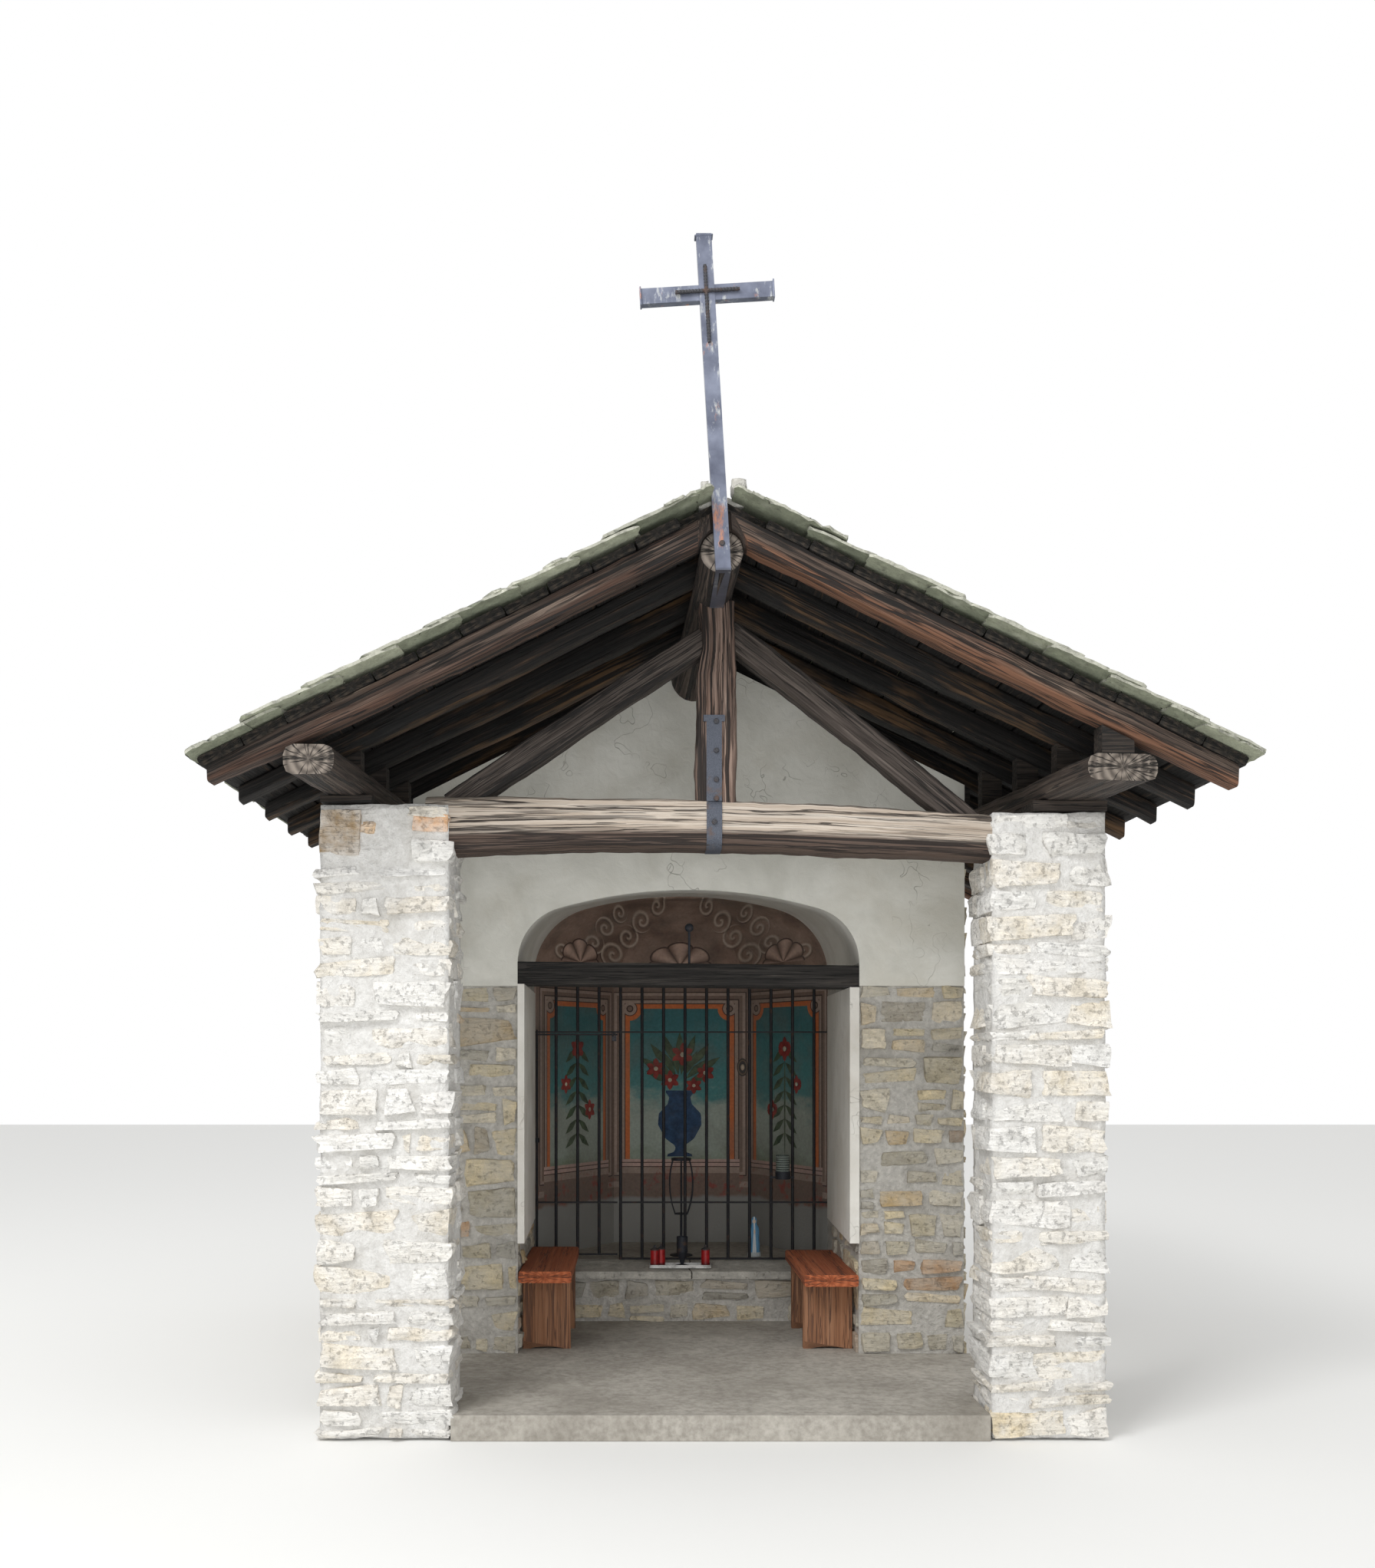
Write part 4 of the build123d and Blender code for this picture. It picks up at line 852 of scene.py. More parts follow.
rng = random.Random(vergeWork["seed"])
for side, hand, finish in ((-1, "left", leftVergeTimber), (1, "right", rightVergeTimber)):
    verge = [setRafter(side, vergeWork["front"], vergeWork["width"], 0.6, 40, 0.8, vergeWork[hand]),
             setRafter(side, vergeWork["back"], vergeWork["width"], 0.5, 24, 0.8)]
    cutSlot(verge[0])
    verge = joinPieces(verge, hand + "VergeTimbers", finish)
    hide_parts(hand + "_verge_rafters")
    inner = [setRafter(
        side, vergeWork["spacing"] * index, vergeWork["innerWidth"], rng.random(), 24, 1.0, vergeWork[hand])
        for index in range(vergeWork["count"])]
    inner = joinPieces(inner, hand + "RafterTimbers", shadedInnerTimber)
    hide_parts(hand + "_rafters")
print("rafters hewn")

deckWork = {"planks": 12, "gap": 0.006, "seed": 30, "worn": (0.002, 0.012), "ragged": (0.0, 0.03)}
rng = random.Random(deckWork["seed"])
for side, hand in ((-1, "left"), (1, "right")):
    planks = []
    pitch = roofLines["deckRun"] / deckWork["planks"]
    base = roofLines["rafterUnder"] + roofLines["rafterRise"]
    for index in range(deckWork["planks"]):
        reach = (index * pitch + (index + 1) * pitch) / 2
        thick = (roofLines["deckRise"] - rng.uniform(*deckWork["worn"])) * cosPitch
        front = roofLines["deckFront"] + rng.uniform(*deckWork["ragged"])
        front = crossSlot["back"] if index == 0 else front
        back = roofLines["deckBack"] - rng.uniform(*deckWork["ragged"])
        spot = (ridgeX + side * reach, (front + back) / 2, base - roofLines["slope"] * reach + thick / 2 / cosPitch)
        turn = Matrix.Rotation(roofLines["pitch"] * side, 4, "Y") @ turnBy(90, "Z")
        planks.append(hewTimber(
            back - front, pitch / cosPitch - deckWork["gap"], thick, moveTo(spot) @ turn, 0.008, 14, 0.25, 0.7,
            rng.random()))
    deck = joinPieces(planks, hand + "DeckPlanks", shadedPlankTimber)
    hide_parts(hand + "_roof_deck")
print("deck laid")

# Stone slabs in courses: each lies on the one below and is less steep than the roof
slabWork = {
    "exposure": 2.302 / cosPitch / 9, "length": 0.46, "firstLength": 0.3, "thick": 0.0115, "width": (0.34, 0.78),
    "narrowest": 0.3, "gap": 0.008, "edge": (-0.010, 0.014), "liftFirst": 0.004, "liftLow": 0.025, "liftEave": 0.013,
    "liftHigh": 0.006, "firstHigh": 0.001, "crest": 0.014, "crestFrom": 0.3, "shapes": 8, "seed": 12,
    "corner": 0.06, "shake": 0.026, "shakeLow": 0.02, "smooth": 35}


def shapeSlab(index):
    slab = addShape(bpy.ops.mesh.primitive_grid_add, x_subdivisions=5, y_subdivisions=5, size=1)
    for vertex in slab.data.vertices:
        vertex.select = abs(vertex.co.x) > 0.49 and abs(vertex.co.y) > 0.49
    setMode("EDIT")
    bpy.ops.mesh.select_mode(type="VERT")
    bpy.ops.mesh.bevel(offset=slabWork["corner"], segments=2, affect="VERTICES")
    bpy.ops.mesh.select_all(action="SELECT")
    bpy.ops.transform.vertex_random(offset=slabWork["shake"], seed=slabWork["seed"] + index)
    bpy.ops.mesh.extrude_region_move(TRANSFORM_OT_translate={"value": (0, 0, -1)})
    bpy.ops.mesh.select_all(action="SELECT")
    bpy.ops.mesh.normals_make_consistent(inside=False)
    bpy.ops.transform.vertex_random(offset=slabWork["shakeLow"], seed=slabWork["seed"] + index + 40)
    setMode("OBJECT")
    smoothBelow(slabWork["smooth"])
    return slab


slabShapes = [shapeSlab(index) for index in range(slabWork["shapes"])]
coords = newMaterial("roofStone", 0.82)
tone = readMark("stoneTone")
color = rampColor(tone, (
    (0.0, (112, 115, 106)), (0.3, (136, 138, 126)), (0.6, (122, 124, 116)), (0.8, (150, 151, 138)),
    (1.0, (106, 109, 103))))
facing = splitAxes(addNode("ShaderNodeNewGeometry", {}, "True Normal"))[2]
color = blendColor(spread(facing, -0.55, -0.75), color, blendColor(tone, (126, 132, 112), (176, 180, 158)))
# Upright edge faces of the slabs painted pale: a painted highlight along the slab edges
color = blendColor(spread(fade(abs(facing), 1.0), 0.35, 0.6) * 0.75, color, (190, 190, 176))
face = useGroup(stoneGroup, Vector=coords, Color=color, Dark=0.35)
lichen = fade(cellsAt(coords, 9.0), 2.6) * spread(noiseAt(coords, 2.2, 4), 0.5, 0.62)
color = blendColor(lichen * 0.5, face["Color"], (196, 198, 180))
slabMaterial = closeMaterial(color, face["Height"], 0.006, Roughness=face["Roughness"])

slabLow = (ridgeX - roofLines["slabRun"], roofLines["slabFront"], 0)
slabHigh = (ridgeX + roofLines["slabRun"], roofLines["slabBack"], 10)
deckTop = roofLines["rafterUnder"] + roofLines["rafterRise"] + roofLines["deckRise"]
span = roofLines["slabRun"] / cosPitch
for side, hand in ((-1, "left"), (1, "right")):
    rng = random.Random(slabWork["seed"] + side)
    slabs = []
    upSlope = Vector((-side * cosPitch, 0, sinPitch))
    normal = Vector((side * sinPitch, 0, cosPitch))
    slopeTurn = fromAxes(upSlope, Vector((0, -side, 0)), normal)
    eave = Vector((ridgeX + side * roofLines["slabRun"], 0, deckTop - roofLines["slope"] * roofLines["slabRun"]))
    for course in range(-1, math.ceil(span / slabWork["exposure"])):
        low = max(course, 0) * slabWork["exposure"]
        length = min(slabWork["firstLength"] if course == -1 else slabWork["length"], span - low + 0.02)
        y = roofLines["slabFront"] + rng.uniform(0.0, 0.030)
        last = roofLines["slabBack"] - 0.004
        while y < last - 0.05:
            width = rng.uniform(*slabWork["width"])
            if last - y - width < slabWork["narrowest"]:
                width = last - y
            slab = copyOf(rng.choice(slabShapes))
            thick = slabWork["thick"] * rng.uniform(0.85, 1.2)
            start = low + rng.uniform(*slabWork["edge"])
            reach = length - (start - low)
            if low + length > span - 0.1 and y < crossSlot["back"]:
                reach -= 0.06
            liftLow = slabWork["liftFirst" if course == -1 else "liftEave" if course == 0 else "liftLow"]
            liftHigh = slabWork["firstHigh" if course == -1 else "liftHigh"]
            if low + length > span - slabWork["crestFrom"]:
                liftLow, liftHigh = liftLow + slabWork["crest"] / 2, liftHigh + slabWork["crest"]
            shape = stretchBy((reach, width - slabWork["gap"], thick)) @ (
                turnBy(rng.choice((0, 180)), "X") @ moveTo((0, 0, 0.5)))
            lean = Matrix.Rotation((liftLow - liftHigh) / max(reach, 0.1), 4, "Y")
            middle = eave + upSlope * (start + reach / 2) + normal * ((liftLow + liftHigh) / 2 + thick / 2)
            middle.y = y + width / 2
            slab.data.transform(moveTo(middle) @ slopeTurn @ lean @ shape)
            points = np.clip(readPoints(slab), slabLow, slabHigh)
            writePoints(slab, points)
            markPiece(slab, "stoneTone", np.full(len(points), rng.random()))
            slabs.append(slab)
            y += width
    layer = joinPieces(slabs, hand + "SlabCourses", slabMaterial)
    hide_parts(hand + "_roof_slabs")
    print(hand, "slabs laid:", len(layer.data.polygons))
for slab in slabShapes:
    dropPiece(slab)

# Lime mortar packed along the crown, open where the cross stands
crownWork = {
    "height": 0.030, "lump": 0.034, "cell": 0.013,
    "boxes": {"crownLeft": (-0.108, -0.074, -0.545, -0.440, 4.224),
              "crownRight": (0.028, 0.084, -0.550, -0.430, 4.224),
              "crownStrip": (-0.106, 0.084, -0.405, 4.22, 4.196)}}
crownMortar = mortarMaterial("crownMortar", (234, 232, 226), (188, 186, 178), (150, 148, 138))
crown = joinPieces([
    layCoat(name, (x0, y0, z), (x1, y1, z + crownWork["height"]), crownWork["cell"], crownWork["lump"], crownMortar)
    for name, (x0, x1, y0, y1, z) in crownWork["boxes"].items()], "crownMortarLumps", crownMortar)

# Main timbers of the porch: tie beam, king post, braces, ridge log and purlins
mainTimbers = {
    "tieLength": 2.755, "tieSize": (0.23, 0.24), "tieMiddle": (0.0085, 0.135, 0.0), "tie": (
        (-1.378, 0, 2.876, 0.230, 0.272), (-1.0, 0.004, 2.882, 0.226, 0.262), (-0.55, 0, 2.886, 0.23, 0.238),
        (-0.068, -0.003, 2.882, 0.228, 0.228), (0.45, 0.003, 2.868, 0.226, 0.232), (1.0, 0, 2.838, 0.23, 0.216),
        (1.378, 0, 2.812, 0.230, 0.204)),
    "postFoot": (-0.0075, 0.1325, 2.930), "postHead": (-0.0075, 0.1325, 3.930), "postSize": (0.189, 0.185), "post": (
        (-0.5, 0.002, 0, 0.188, 0.185), (-0.3, -0.003, 0, 0.190, 0.185), (0.0, 0.003, 0, 0.186, 0.184),
        (0.155, 0, 0, 0.188, 0.185), (0.26, 0.008, 0, 0.156, 0.183), (0.34, 0.009, 0, 0.154, 0.183),
        (0.5, 0.001, 0, 0.170, 0.185)),
    "logLength": 2.03, "logSize": (0.186, 0.186), "logMiddle": (0, 0.575, 0), "log": (
        (-1.015, 0.013, 3.984, 0.184, 0.184), (-0.375, 0.025, 3.990, 0.190, 0.192),
        (1.015, 0.064, 3.8975, 0.262, 0.262)),
    "struts": {"left": ((-1.255, 0.135, 2.973), (-0.06, 0.135, 3.763), 0.004),
               "right": ((1.188, 0.135, 2.889), (0.05, 0.135, 3.795), 0.010)},
    "purlins": {"left": ((-1.795, -0.496, 3.072), (-1.617, 1.805, 3.072), (0.220, 0.124)),
                "right": ((1.721, -0.466, 3.0445), (1.436, 1.805, 3.0445), (0.320, 0.119))}}
hewn = [("tieTimber", "tie_beam", beamTimber, hewTimber(
    mainTimbers["tieLength"], *mainTimbers["tieSize"], moveTo(mainTimbers["tieMiddle"]), 0.052, 60, 0.8, 1.5, 0.8,
    mainTimbers["tie"]))]
place, length = between(mainTimbers["postFoot"], mainTimbers["postHead"], (0, 1, 0))
hewn.append(("postTimber", "king_post", postTimber, hewTimber(
    length, *mainTimbers["postSize"], place, 0.028, 34, 0.7, 1.5, 0.5, mainTimbers["post"])))
for hand, (foot, head, bow) in mainTimbers["struts"].items():
    place, length = between(foot, head)
    hewn.append((hand + "StrutTimber", hand + "_strut", strutTimber, hewTimber(
        length, 0.13, 0.124, place, 0.02, 34, 0.9, 1.3, 0.5, (
            (-length / 2, 0, 0, 0.13, 0.122), (-length * 0.15, 0, bow, 0.13, 0.130),
            (length * 0.2, 0, bow, 0.13, 0.124), (length / 2, 0, 0, 0.13, 0.118)))))
hewn.append(("ridgeLog", "ridge_beam", logTimber, hewTimber(
    mainTimbers["logLength"], *mainTimbers["logSize"], moveTo(mainTimbers["logMiddle"]) @ turnBy(90, "Z"), 0, 24, 0.8,
    1.2, 0.5, mainTimbers["log"], 22)))
for hand, (start, end, size) in mainTimbers["purlins"].items():
    place, length = between(start, end)
    hewn.append((hand + "PurlinTimber", hand + "_purlin", logTimber, hewTimber(
        length, *size, place, 0.042, 40, 0.8, 1.3, 0.5)))
for name, node, finish, timber in hewn:
    piece = joinPieces([timber], name, finish)
    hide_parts(node)
blockTimber = timberMaterial(
    "blockTimber", ((96, 84, 74), (136, 124, 112), (160, 148, 134), (190, 180, 166)), (40, 34, 30), paleEnd, 14.0,
    turn=90)
plateTimber = timberMaterial(
    "plateTimber", ((52, 44, 38), (84, 72, 62), (104, 90, 78), (132, 116, 100)), (24, 20, 18), paleEnd, 10.0, turn=90)
lintelTimber = timberMaterial(
    "lintelTimber", ((20, 19, 18), (36, 33, 31), (50, 46, 43), (88, 80, 72)), (10, 10, 10), paleEnd, 10.0, turn=0)
# Packing blocks and pier pads, deep under the roof, get near-black wood: painted shade
darkBlock = timberMaterial(
    "darkBlock", ((22, 18, 16), (40, 33, 28), (56, 47, 40), (90, 76, 62)), (9, 8, 7), brownEnd, 12.0, turn=0)
finishNodes(darkBlock, "packing_blocks", "pier_pads")
finishNodes(plateTimber, "wall_plates", "rear_ridge_beam")
finishNodes(lintelTimber, "lintel_beam")
print("main timbers set")


# Plaster, lime linings and worn concrete
def limeMaterial(name, pale, shade, crackTone, cracks, stain):
    coords = newMaterial(name, 0.9)
    coat = useGroup(limeGroup, Vector=coords, Cracks=cracks)
    dirt = useGroup(dirtGroup, Vector=coords, Scale=1.7, Amount=0.6)
    color = blendColor(spread(coat["Mottle"], 0.34, 0.66), shade, pale)
    color = blendColor(dirt["Mask"] * 0.4, color, stain)
    return closeMaterial(blendColor(coat["Crack"] * 0.6, color, crackTone), coat["Height"], 0.004)


finishNodes(limeMaterial(
    "frontLime", (228, 227, 219), (208, 207, 198), (140, 136, 126), 1.5, (192, 186, 170)), "front_plaster")
finishNodes(limeMaterial(
    "liningLime", (238, 236, 230), (220, 217, 209), (160, 154, 144), 2.2, (204, 196, 182)), "jamb_linings")

coords = newMaterial("wornConcrete", 0.88)
stains = useGroup(dirtGroup, Vector=coords, Scale=1.3, Amount=0.75)
wide = useGroup(dirtGroup, Vector=mapVector(coords, (3.1, 0.7, 0)), Scale=4.0, Amount=0.6)
color = blendColor(spread(stains["Fine"], 0.35, 0.65), (150, 145, 136), (182, 177, 168))
color = blendColor(stains["Mask"] * 0.5, color, (126, 120, 110))
color = blendColor(wide["Mask"] * 0.3, color, (205, 200, 190))
finishNodes(closeMaterial(color, stains["Fine"], 0.004), "porch_floor", "apse_floor")
coords = newMaterial("sillStone", 0.86)
face = useGroup(stoneGroup, Vector=coords, Color=tint(182, 179, 171), Dark=0.5)
seam = abs(splitAxes(coords)[0] + 0.043 + (noiseAt(coords, 9.0, 3) - 0.5) * 0.05)
color = blendColor(spread(seam, 0.006, 0.002), face["Color"], (58, 54, 48))
finishNodes(closeMaterial(color, face["Height"], 0.010), "sill_slab")

# Painted apse: three framed panels, shells over them and curled leaves beside the groins
across, up, half, bottom, top, notch = newGroup(
    "notchedPanel", Across=0.0, Up=0.0, Half=0.35, Bottom=1.05, Top=2.13, Notch=0.085)
beside, above, below = abs(across) - half, up - top, bottom - up
notched = notch - calc("SQRT", beside * beside + above * above)
outer = calc("MAXIMUM", calc("MAXIMUM", beside, above), calc("MAXIMUM", below, notched))
panelGroup = closeGroup(Distance=outer, Sill=below * (beside < 0.07))

# A shell drawn as a fan of flutes with a scalloped rim
across, up, width, height, foot, flutes = newGroup(
    "shellFan", Across=0.0, Up=0.0, Width=0.24, Height=0.16, Foot=2.43, Flutes=3.5)
dx, dz = across / width, (up - foot) / height
lobe = abs(calc("COSINE", calc("ARCTAN2", dx, dz) * flutes))
inset = lobe ** 0.5 * 0.16 + 0.84 - calc("SQRT", dx * dx + dz * dz)
inside = spread(inset, 0.0, 0.03) * (dz > 0.0)
shellGroup = closeGroup(Inside=inside, Rim=inside * spread(inset, 0.10, 0.05), Flute=lobe)

# One curl of a painted leaf
across, up, aside, height, radius, turn = newGroup(
    "leafCurl", Across=0.0, Up=0.0, Side=0.0, Height=0.0, Radius=0.06, Turn=0.0)
dx, dz = across - aside, up - height
away = calc("SQRT", dx * dx + dz * dz) / radius
coil = calc("FRACT", calc("ARCTAN2", dz, dx) / (2 * math.pi) + turn + away * 1.5)
curlGroup = closeGroup(Mask=fade(abs(coil - 0.5), 3.4) * (away < 1.0))

apseWork = {
    "paintFrom": 2.666, "middle": -0.0725, "half": 0.355, "sideMiddle": -0.076, "sideAt": 0.71, "sideStretch": 1.915,
    "sideHalf": 0.325, "bottom": 1.056, "top": 2.127, "render": 0.785, "backFrom": 3.52, "shellFoot": 2.43,
    "curls": ((0.47, 2.50, 0.085, 0.1), (0.37, 2.62, 0.075, 0.6), (0.27, 2.72, 0.07, 0.2), (0.17, 2.80, 0.055, 0.7),
              (0.60, 2.56, 0.07, 0.4), (0.52, 2.66, 0.065, 0.9), (0.42, 2.75, 0.05, 0.3), (0.80, 2.50, 0.06, 0.5))}
taupe, taupeLight, taupeDark, orange = (130, 110, 100), (168, 148, 136), (72, 58, 52), (204, 116, 70)
teal, haze, meadow, pink = (84, 138, 138), (164, 174, 164), (112, 128, 96), (196, 166, 156)


def wornPaint(color, coords, amount=0.35):
    # rubbed and stained distemper
    dirt = useGroup(dirtGroup, Vector=coords, Scale=2.4, Amount=0.7)
    color = blendColor(dirt["Mask"] * amount, color, (120, 112, 104))
    return scaleColor(color, spread(dirt["Fine"], 0.3, 0.7, 0.86, 1.12))


def framedColor(coords, across, up, half):
    panel = useGroup(panelGroup, Across=across, Up=up, Half=half, Bottom=apseWork["bottom"], Top=apseWork["top"])
    clouds = noiseAt(mapVector(coords, scale=(1, 1, 2.4)), 3.4, 5, 0.6) * 0.5
    inside = rampColor(spread(up + clouds, 1.15, 2.35), (
        (0.0, meadow), (0.22, haze), (0.42, haze), (0.55, teal), (1.0, (66, 114, 118))))
    bands = rampColor(spread(panel["Distance"], 0.0, 0.20), (
        (0.0, orange), (0.16, taupeDark), (0.19, taupeLight), (0.30, taupeDark), (0.34, taupe), (0.46, taupeLight),
        (0.56, taupeDark), (0.60, taupe), (0.80, taupeLight), (1.0, taupe)), "CONSTANT")
    color = blendColor(panel["Distance"] > 0.0, inside, bands)
    sill = rampColor(spread(panel["Sill"], 0.0, 0.10), (
        (0.0, pink), (0.2, taupeDark), (0.26, pink), (0.5, taupeDark), (0.56, taupeLight), (1.0, taupe)), "CONSTANT")
    color = blendColor(panel["Sill"] > 0.0, color, sill)
    ragged = up + noiseAt(coords, 7.0, 4) * 0.08
    traces = spread(noiseAt(coords, 13.0, 5, 0.65), 0.55, 0.64) * spread(ragged, 1.06, 0.98)
    color = wornPaint(blendColor(traces, color, (150, 86, 76)), coords)
    return blendColor(spread(ragged, apseWork["render"] + 0.055, apseWork["render"] + 0.03), color, (146, 145, 141))


coords = newMaterial("cornerPaint", 0.92)
x, y, z = splitAxes(coords)
across = (abs(x - apseWork["sideMiddle"]) - apseWork["sideAt"]) * apseWork["sideStretch"]
color = framedColor(coords, across, z, apseWork["sideHalf"])
finishNodes(closeMaterial(color, noiseAt(coords, 60.0, 5, 0.65), 0.003), "apse_corners")

coords = newMaterial("backPaint", 0.92)
x, y, z = splitAxes(coords)
painted = framedColor(coords, x - apseWork["middle"], z, apseWork["half"])
rough = noiseAt(coords, 34.0, 6, 0.7)
bare = blendColor(spread(rough, 0.35, 0.65), (172, 169, 163), (204, 201, 194))
finishNodes(closeMaterial(blendColor(y > apseWork["backFrom"], painted, bare), rough, 0.004), "back_wall")

coords = newMaterial("vaultPaint", 0.92)
x, y, z = splitAxes(coords)
across = x - apseWork["middle"]
fromMiddle = abs(across)
color = blendColor(spread(noiseAt(coords, 4.0, 5), 0.35, 0.65), (160, 135, 121), (116, 95, 84))
for aside, height, radius, turn in apseWork["curls"]:
    for shift, drop, share, hue in ((0.007, 0.008, 0.6, (62, 48, 42)), (0.0, 0.0, 0.85, (208, 189, 173))):
        curl = useGroup(
            curlGroup, Across=fromMiddle, Up=z, Side=aside + shift, Height=height - drop, Radius=radius, Turn=turn)
        color = blendColor(curl["Mask"] * share, color, hue)
for middle, place, width, height in ((0.0, across, 0.245, 0.165), (0.69, fromMiddle, 0.13, 0.155)):
    shell = useGroup(shellGroup, Across=place - middle, Up=z, Width=width, Height=height, Foot=apseWork["shellFoot"])
    color = blendColor(shell["Inside"], color, blendColor(shell["Flute"], (88, 68, 60), (206, 174, 158)))
    color = blendColor(shell["Rim"], color, (62, 44, 38))
color = wornPaint(color, coords)
coat = useGroup(limeGroup, Vector=coords, Cracks=1.3)
white = blendColor(spread(coat["Mottle"], 0.34, 0.66), (220, 217, 208), (238, 236, 229))
color = blendColor(y > apseWork["paintFrom"], white, color)
color = blendColor(coat["Crack"] * 0.6, color, (70, 58, 50))
finishNodes(closeMaterial(color, coat["Height"], 0.003), "vault")


# Motifs of the panels: an urn with leaves in the middle, a flowering stem on each side, laid on very thinly
def flatShape(place, size, tilt=0.0, normal=(0, -1, 0), point=0.0):
    # a thin disc, or a petal with a point, on a wall: size across and up, tilt in the wall's plane
    shape = addShape(bpy.ops.mesh.primitive_uv_sphere_add, segments=12, ring_count=6, radius=0.5)
    if point:
        for vertex in shape.data.vertices:
            vertex.co.x *= 1 - point * abs(vertex.co.z * 2) ** 1.5
    face = Vector(normal).normalized()
    turn = fromAxes(face.cross(Vector((0, 0, 1))) * -1, face * -1, Vector((0, 0, 1)))
    shape.data.transform(moveTo(place) @ turn @ Matrix.Rotation(tilt, 4, "Y") @ stretchBy((size[0], 0.006, size[1])))
    bpy.ops.object.shade_smooth()
    return shape


def turnedShape(place, profile, flat=0.02, sides=20):
    # a vessel turned about an upright axis and pressed flat: profile gives height and radius
    vessel = addShape(
        bpy.ops.mesh.primitive_cylinder_add, moveTo((0, 0, 0.5)), vertices=sides, radius=1, depth=1)
    for vertex in vessel.data.vertices:
        vertex.select = False
    for edge in vessel.data.edges:
        first, last = (vessel.data.vertices[i].co for i in edge.vertices)
        edge.select = abs(first.z - last.z) > 0.5
    setMode("EDIT")
    bpy.ops.mesh.subdivide(number_cuts=28)
    setMode("OBJECT")
    heights, radii = np.array(profile).T
    for vertex in vessel.data.vertices:
        z = heights[0] + (heights[-1] - heights[0]) * vertex.co.z
        radius = np.interp(z, heights, radii)
        vertex.co = (vertex.co.x * radius, vertex.co.y * radius * flat, z)
    vessel.data.transform(moveTo(place))
    smoothBelow(40)
    return vessel


def paintTone(name, color, dark):
    coords = newMaterial(name, 0.9)
    color = blendColor(spread(noiseAt(coords, 16.0, 5, 0.65), 0.35, 0.65), dark, color)
    return closeMaterial(wornPaint(color, coords, 0.25))


motifWork = {
    "wall": 3.4995, "urn": (
        (1.075, 0.09), (1.095, 0.085), (1.11, 0.035), (1.15, 0.030), (1.20, 0.10), (1.30, 0.155), (1.38, 0.15),
        (1.45, 0.085), (1.50, 0.075), (1.53, 0.10), (1.545, 0.10)),
    "leaves": 15, "swing": 1.15, "blooms": (
        (-0.17, 1.70, 0.075), (0.02, 1.80, 0.085), (0.18, 1.67, 0.07), (-0.07, 1.62, 0.07), (0.10, 1.58, 0.06)),
    "stem": (1.10, 1.82), "pairs": 7, "stemBlooms": ((0.0, 1.84, 0.085), (-0.14, 1.60, 0.065), (0.15, 1.42, 0.07)),
    "sides": (((-1.05, 2.67), (-0.542, 3.5)), ((0.868, 2.67), (0.419, 3.5)))}
urn = [turnedShape((apseWork["middle"], motifWork["wall"], 0), motifWork["urn"])]
leaves, blooms, hearts = [], [], []


def addBloom(middle, run, normal, size, lift):
    # six petals round a heart
    for petal in range(6):
        turn = petal * math.pi / 3
        spot = middle + run * math.sin(turn) * size * 0.55 + Vector((0, 0, math.cos(turn) * size * 0.55))
        blooms.append(flatShape(spot, (size * 0.62, size * 0.9), turn, normal, 0.45))
    hearts.append(flatShape(middle + normal * lift, (size * 0.42, size * 0.42), 0.0, normal))


urnTop = Vector((apseWork["middle"], motifWork["wall"], 1.56))
outward, sideways = Vector((0, -1, 0)), Vector((1, 0, 0))
for index in range(motifWork["leaves"]):
    swing = -motifWork["swing"] + 2 * motifWork["swing"] * index / (motifWork["leaves"] - 1)
    reach = 0.20 + 0.10 * (index % 2)
    spot = urnTop + Vector((math.sin(swing) * reach * 0.8, -0.0006, math.cos(swing) * reach))
    leaves.append(flatShape(spot, (0.055, 0.21), swing, point=0.9))
for x, z, size in motifWork["blooms"]:
    addBloom(Vector((urnTop.x + x, urnTop.y - 0.0016, z)), sideways, outward, size, 0.0014)
for foot, end in motifWork["sides"]:
    run = Vector((end[0] - foot[0], end[1] - foot[1], 0)).normalized()
    normal = Vector((-run.y, run.x, 0))
    normal = normal if normal.y < 0 else -normal
    share = (abs(foot[0] - apseWork["sideMiddle"]) - apseWork["sideAt"]) / abs(foot[0] - end[0])
    base = Vector((foot[0] + (end[0] - foot[0]) * share, foot[1] + (end[1] - foot[1]) * share, 0)) + normal * 0.0008
    low, high = motifWork["stem"]
    leaves.append(flatShape(base + Vector((0, 0, (low + high) / 2)), (0.016, high - low), 0.0, normal, 0.3))
    for pair in range(motifWork["pairs"]):
        z = low + 0.08 + (high - low - 0.14) * pair / (motifWork["pairs"] - 1)
        for way in (-1, 1):
            spot = base + run * way * 0.075 + Vector((0, 0, z + 0.035)) + normal * 0.0006
            tilt = way * 0.95 * (1 if normal.x * run.y < 0 else -1)
            leaves.append(flatShape(spot, (0.05, 0.17), tilt, normal, 0.9))
    for way, z, size in motifWork["stemBlooms"]:
        addBloom(base + run * way + normal * 0.0016 + Vector((0, 0, z)), run, normal, size, 0.0014)
for pieces, name, light, dark in (
        (urn, "apseUrn", (60, 88, 122), (38, 56, 82)), (leaves, "apseLeaves", (88, 108, 80), (54, 72, 56)),
        (blooms, "apseBlooms", (168, 66, 58), (118, 42, 40)),
        (hearts, "apseHearts", (216, 206, 184), (178, 164, 144))):
    joinPieces(pieces, name, paintTone(name + "Paint", light, dark))
print("apse painted")


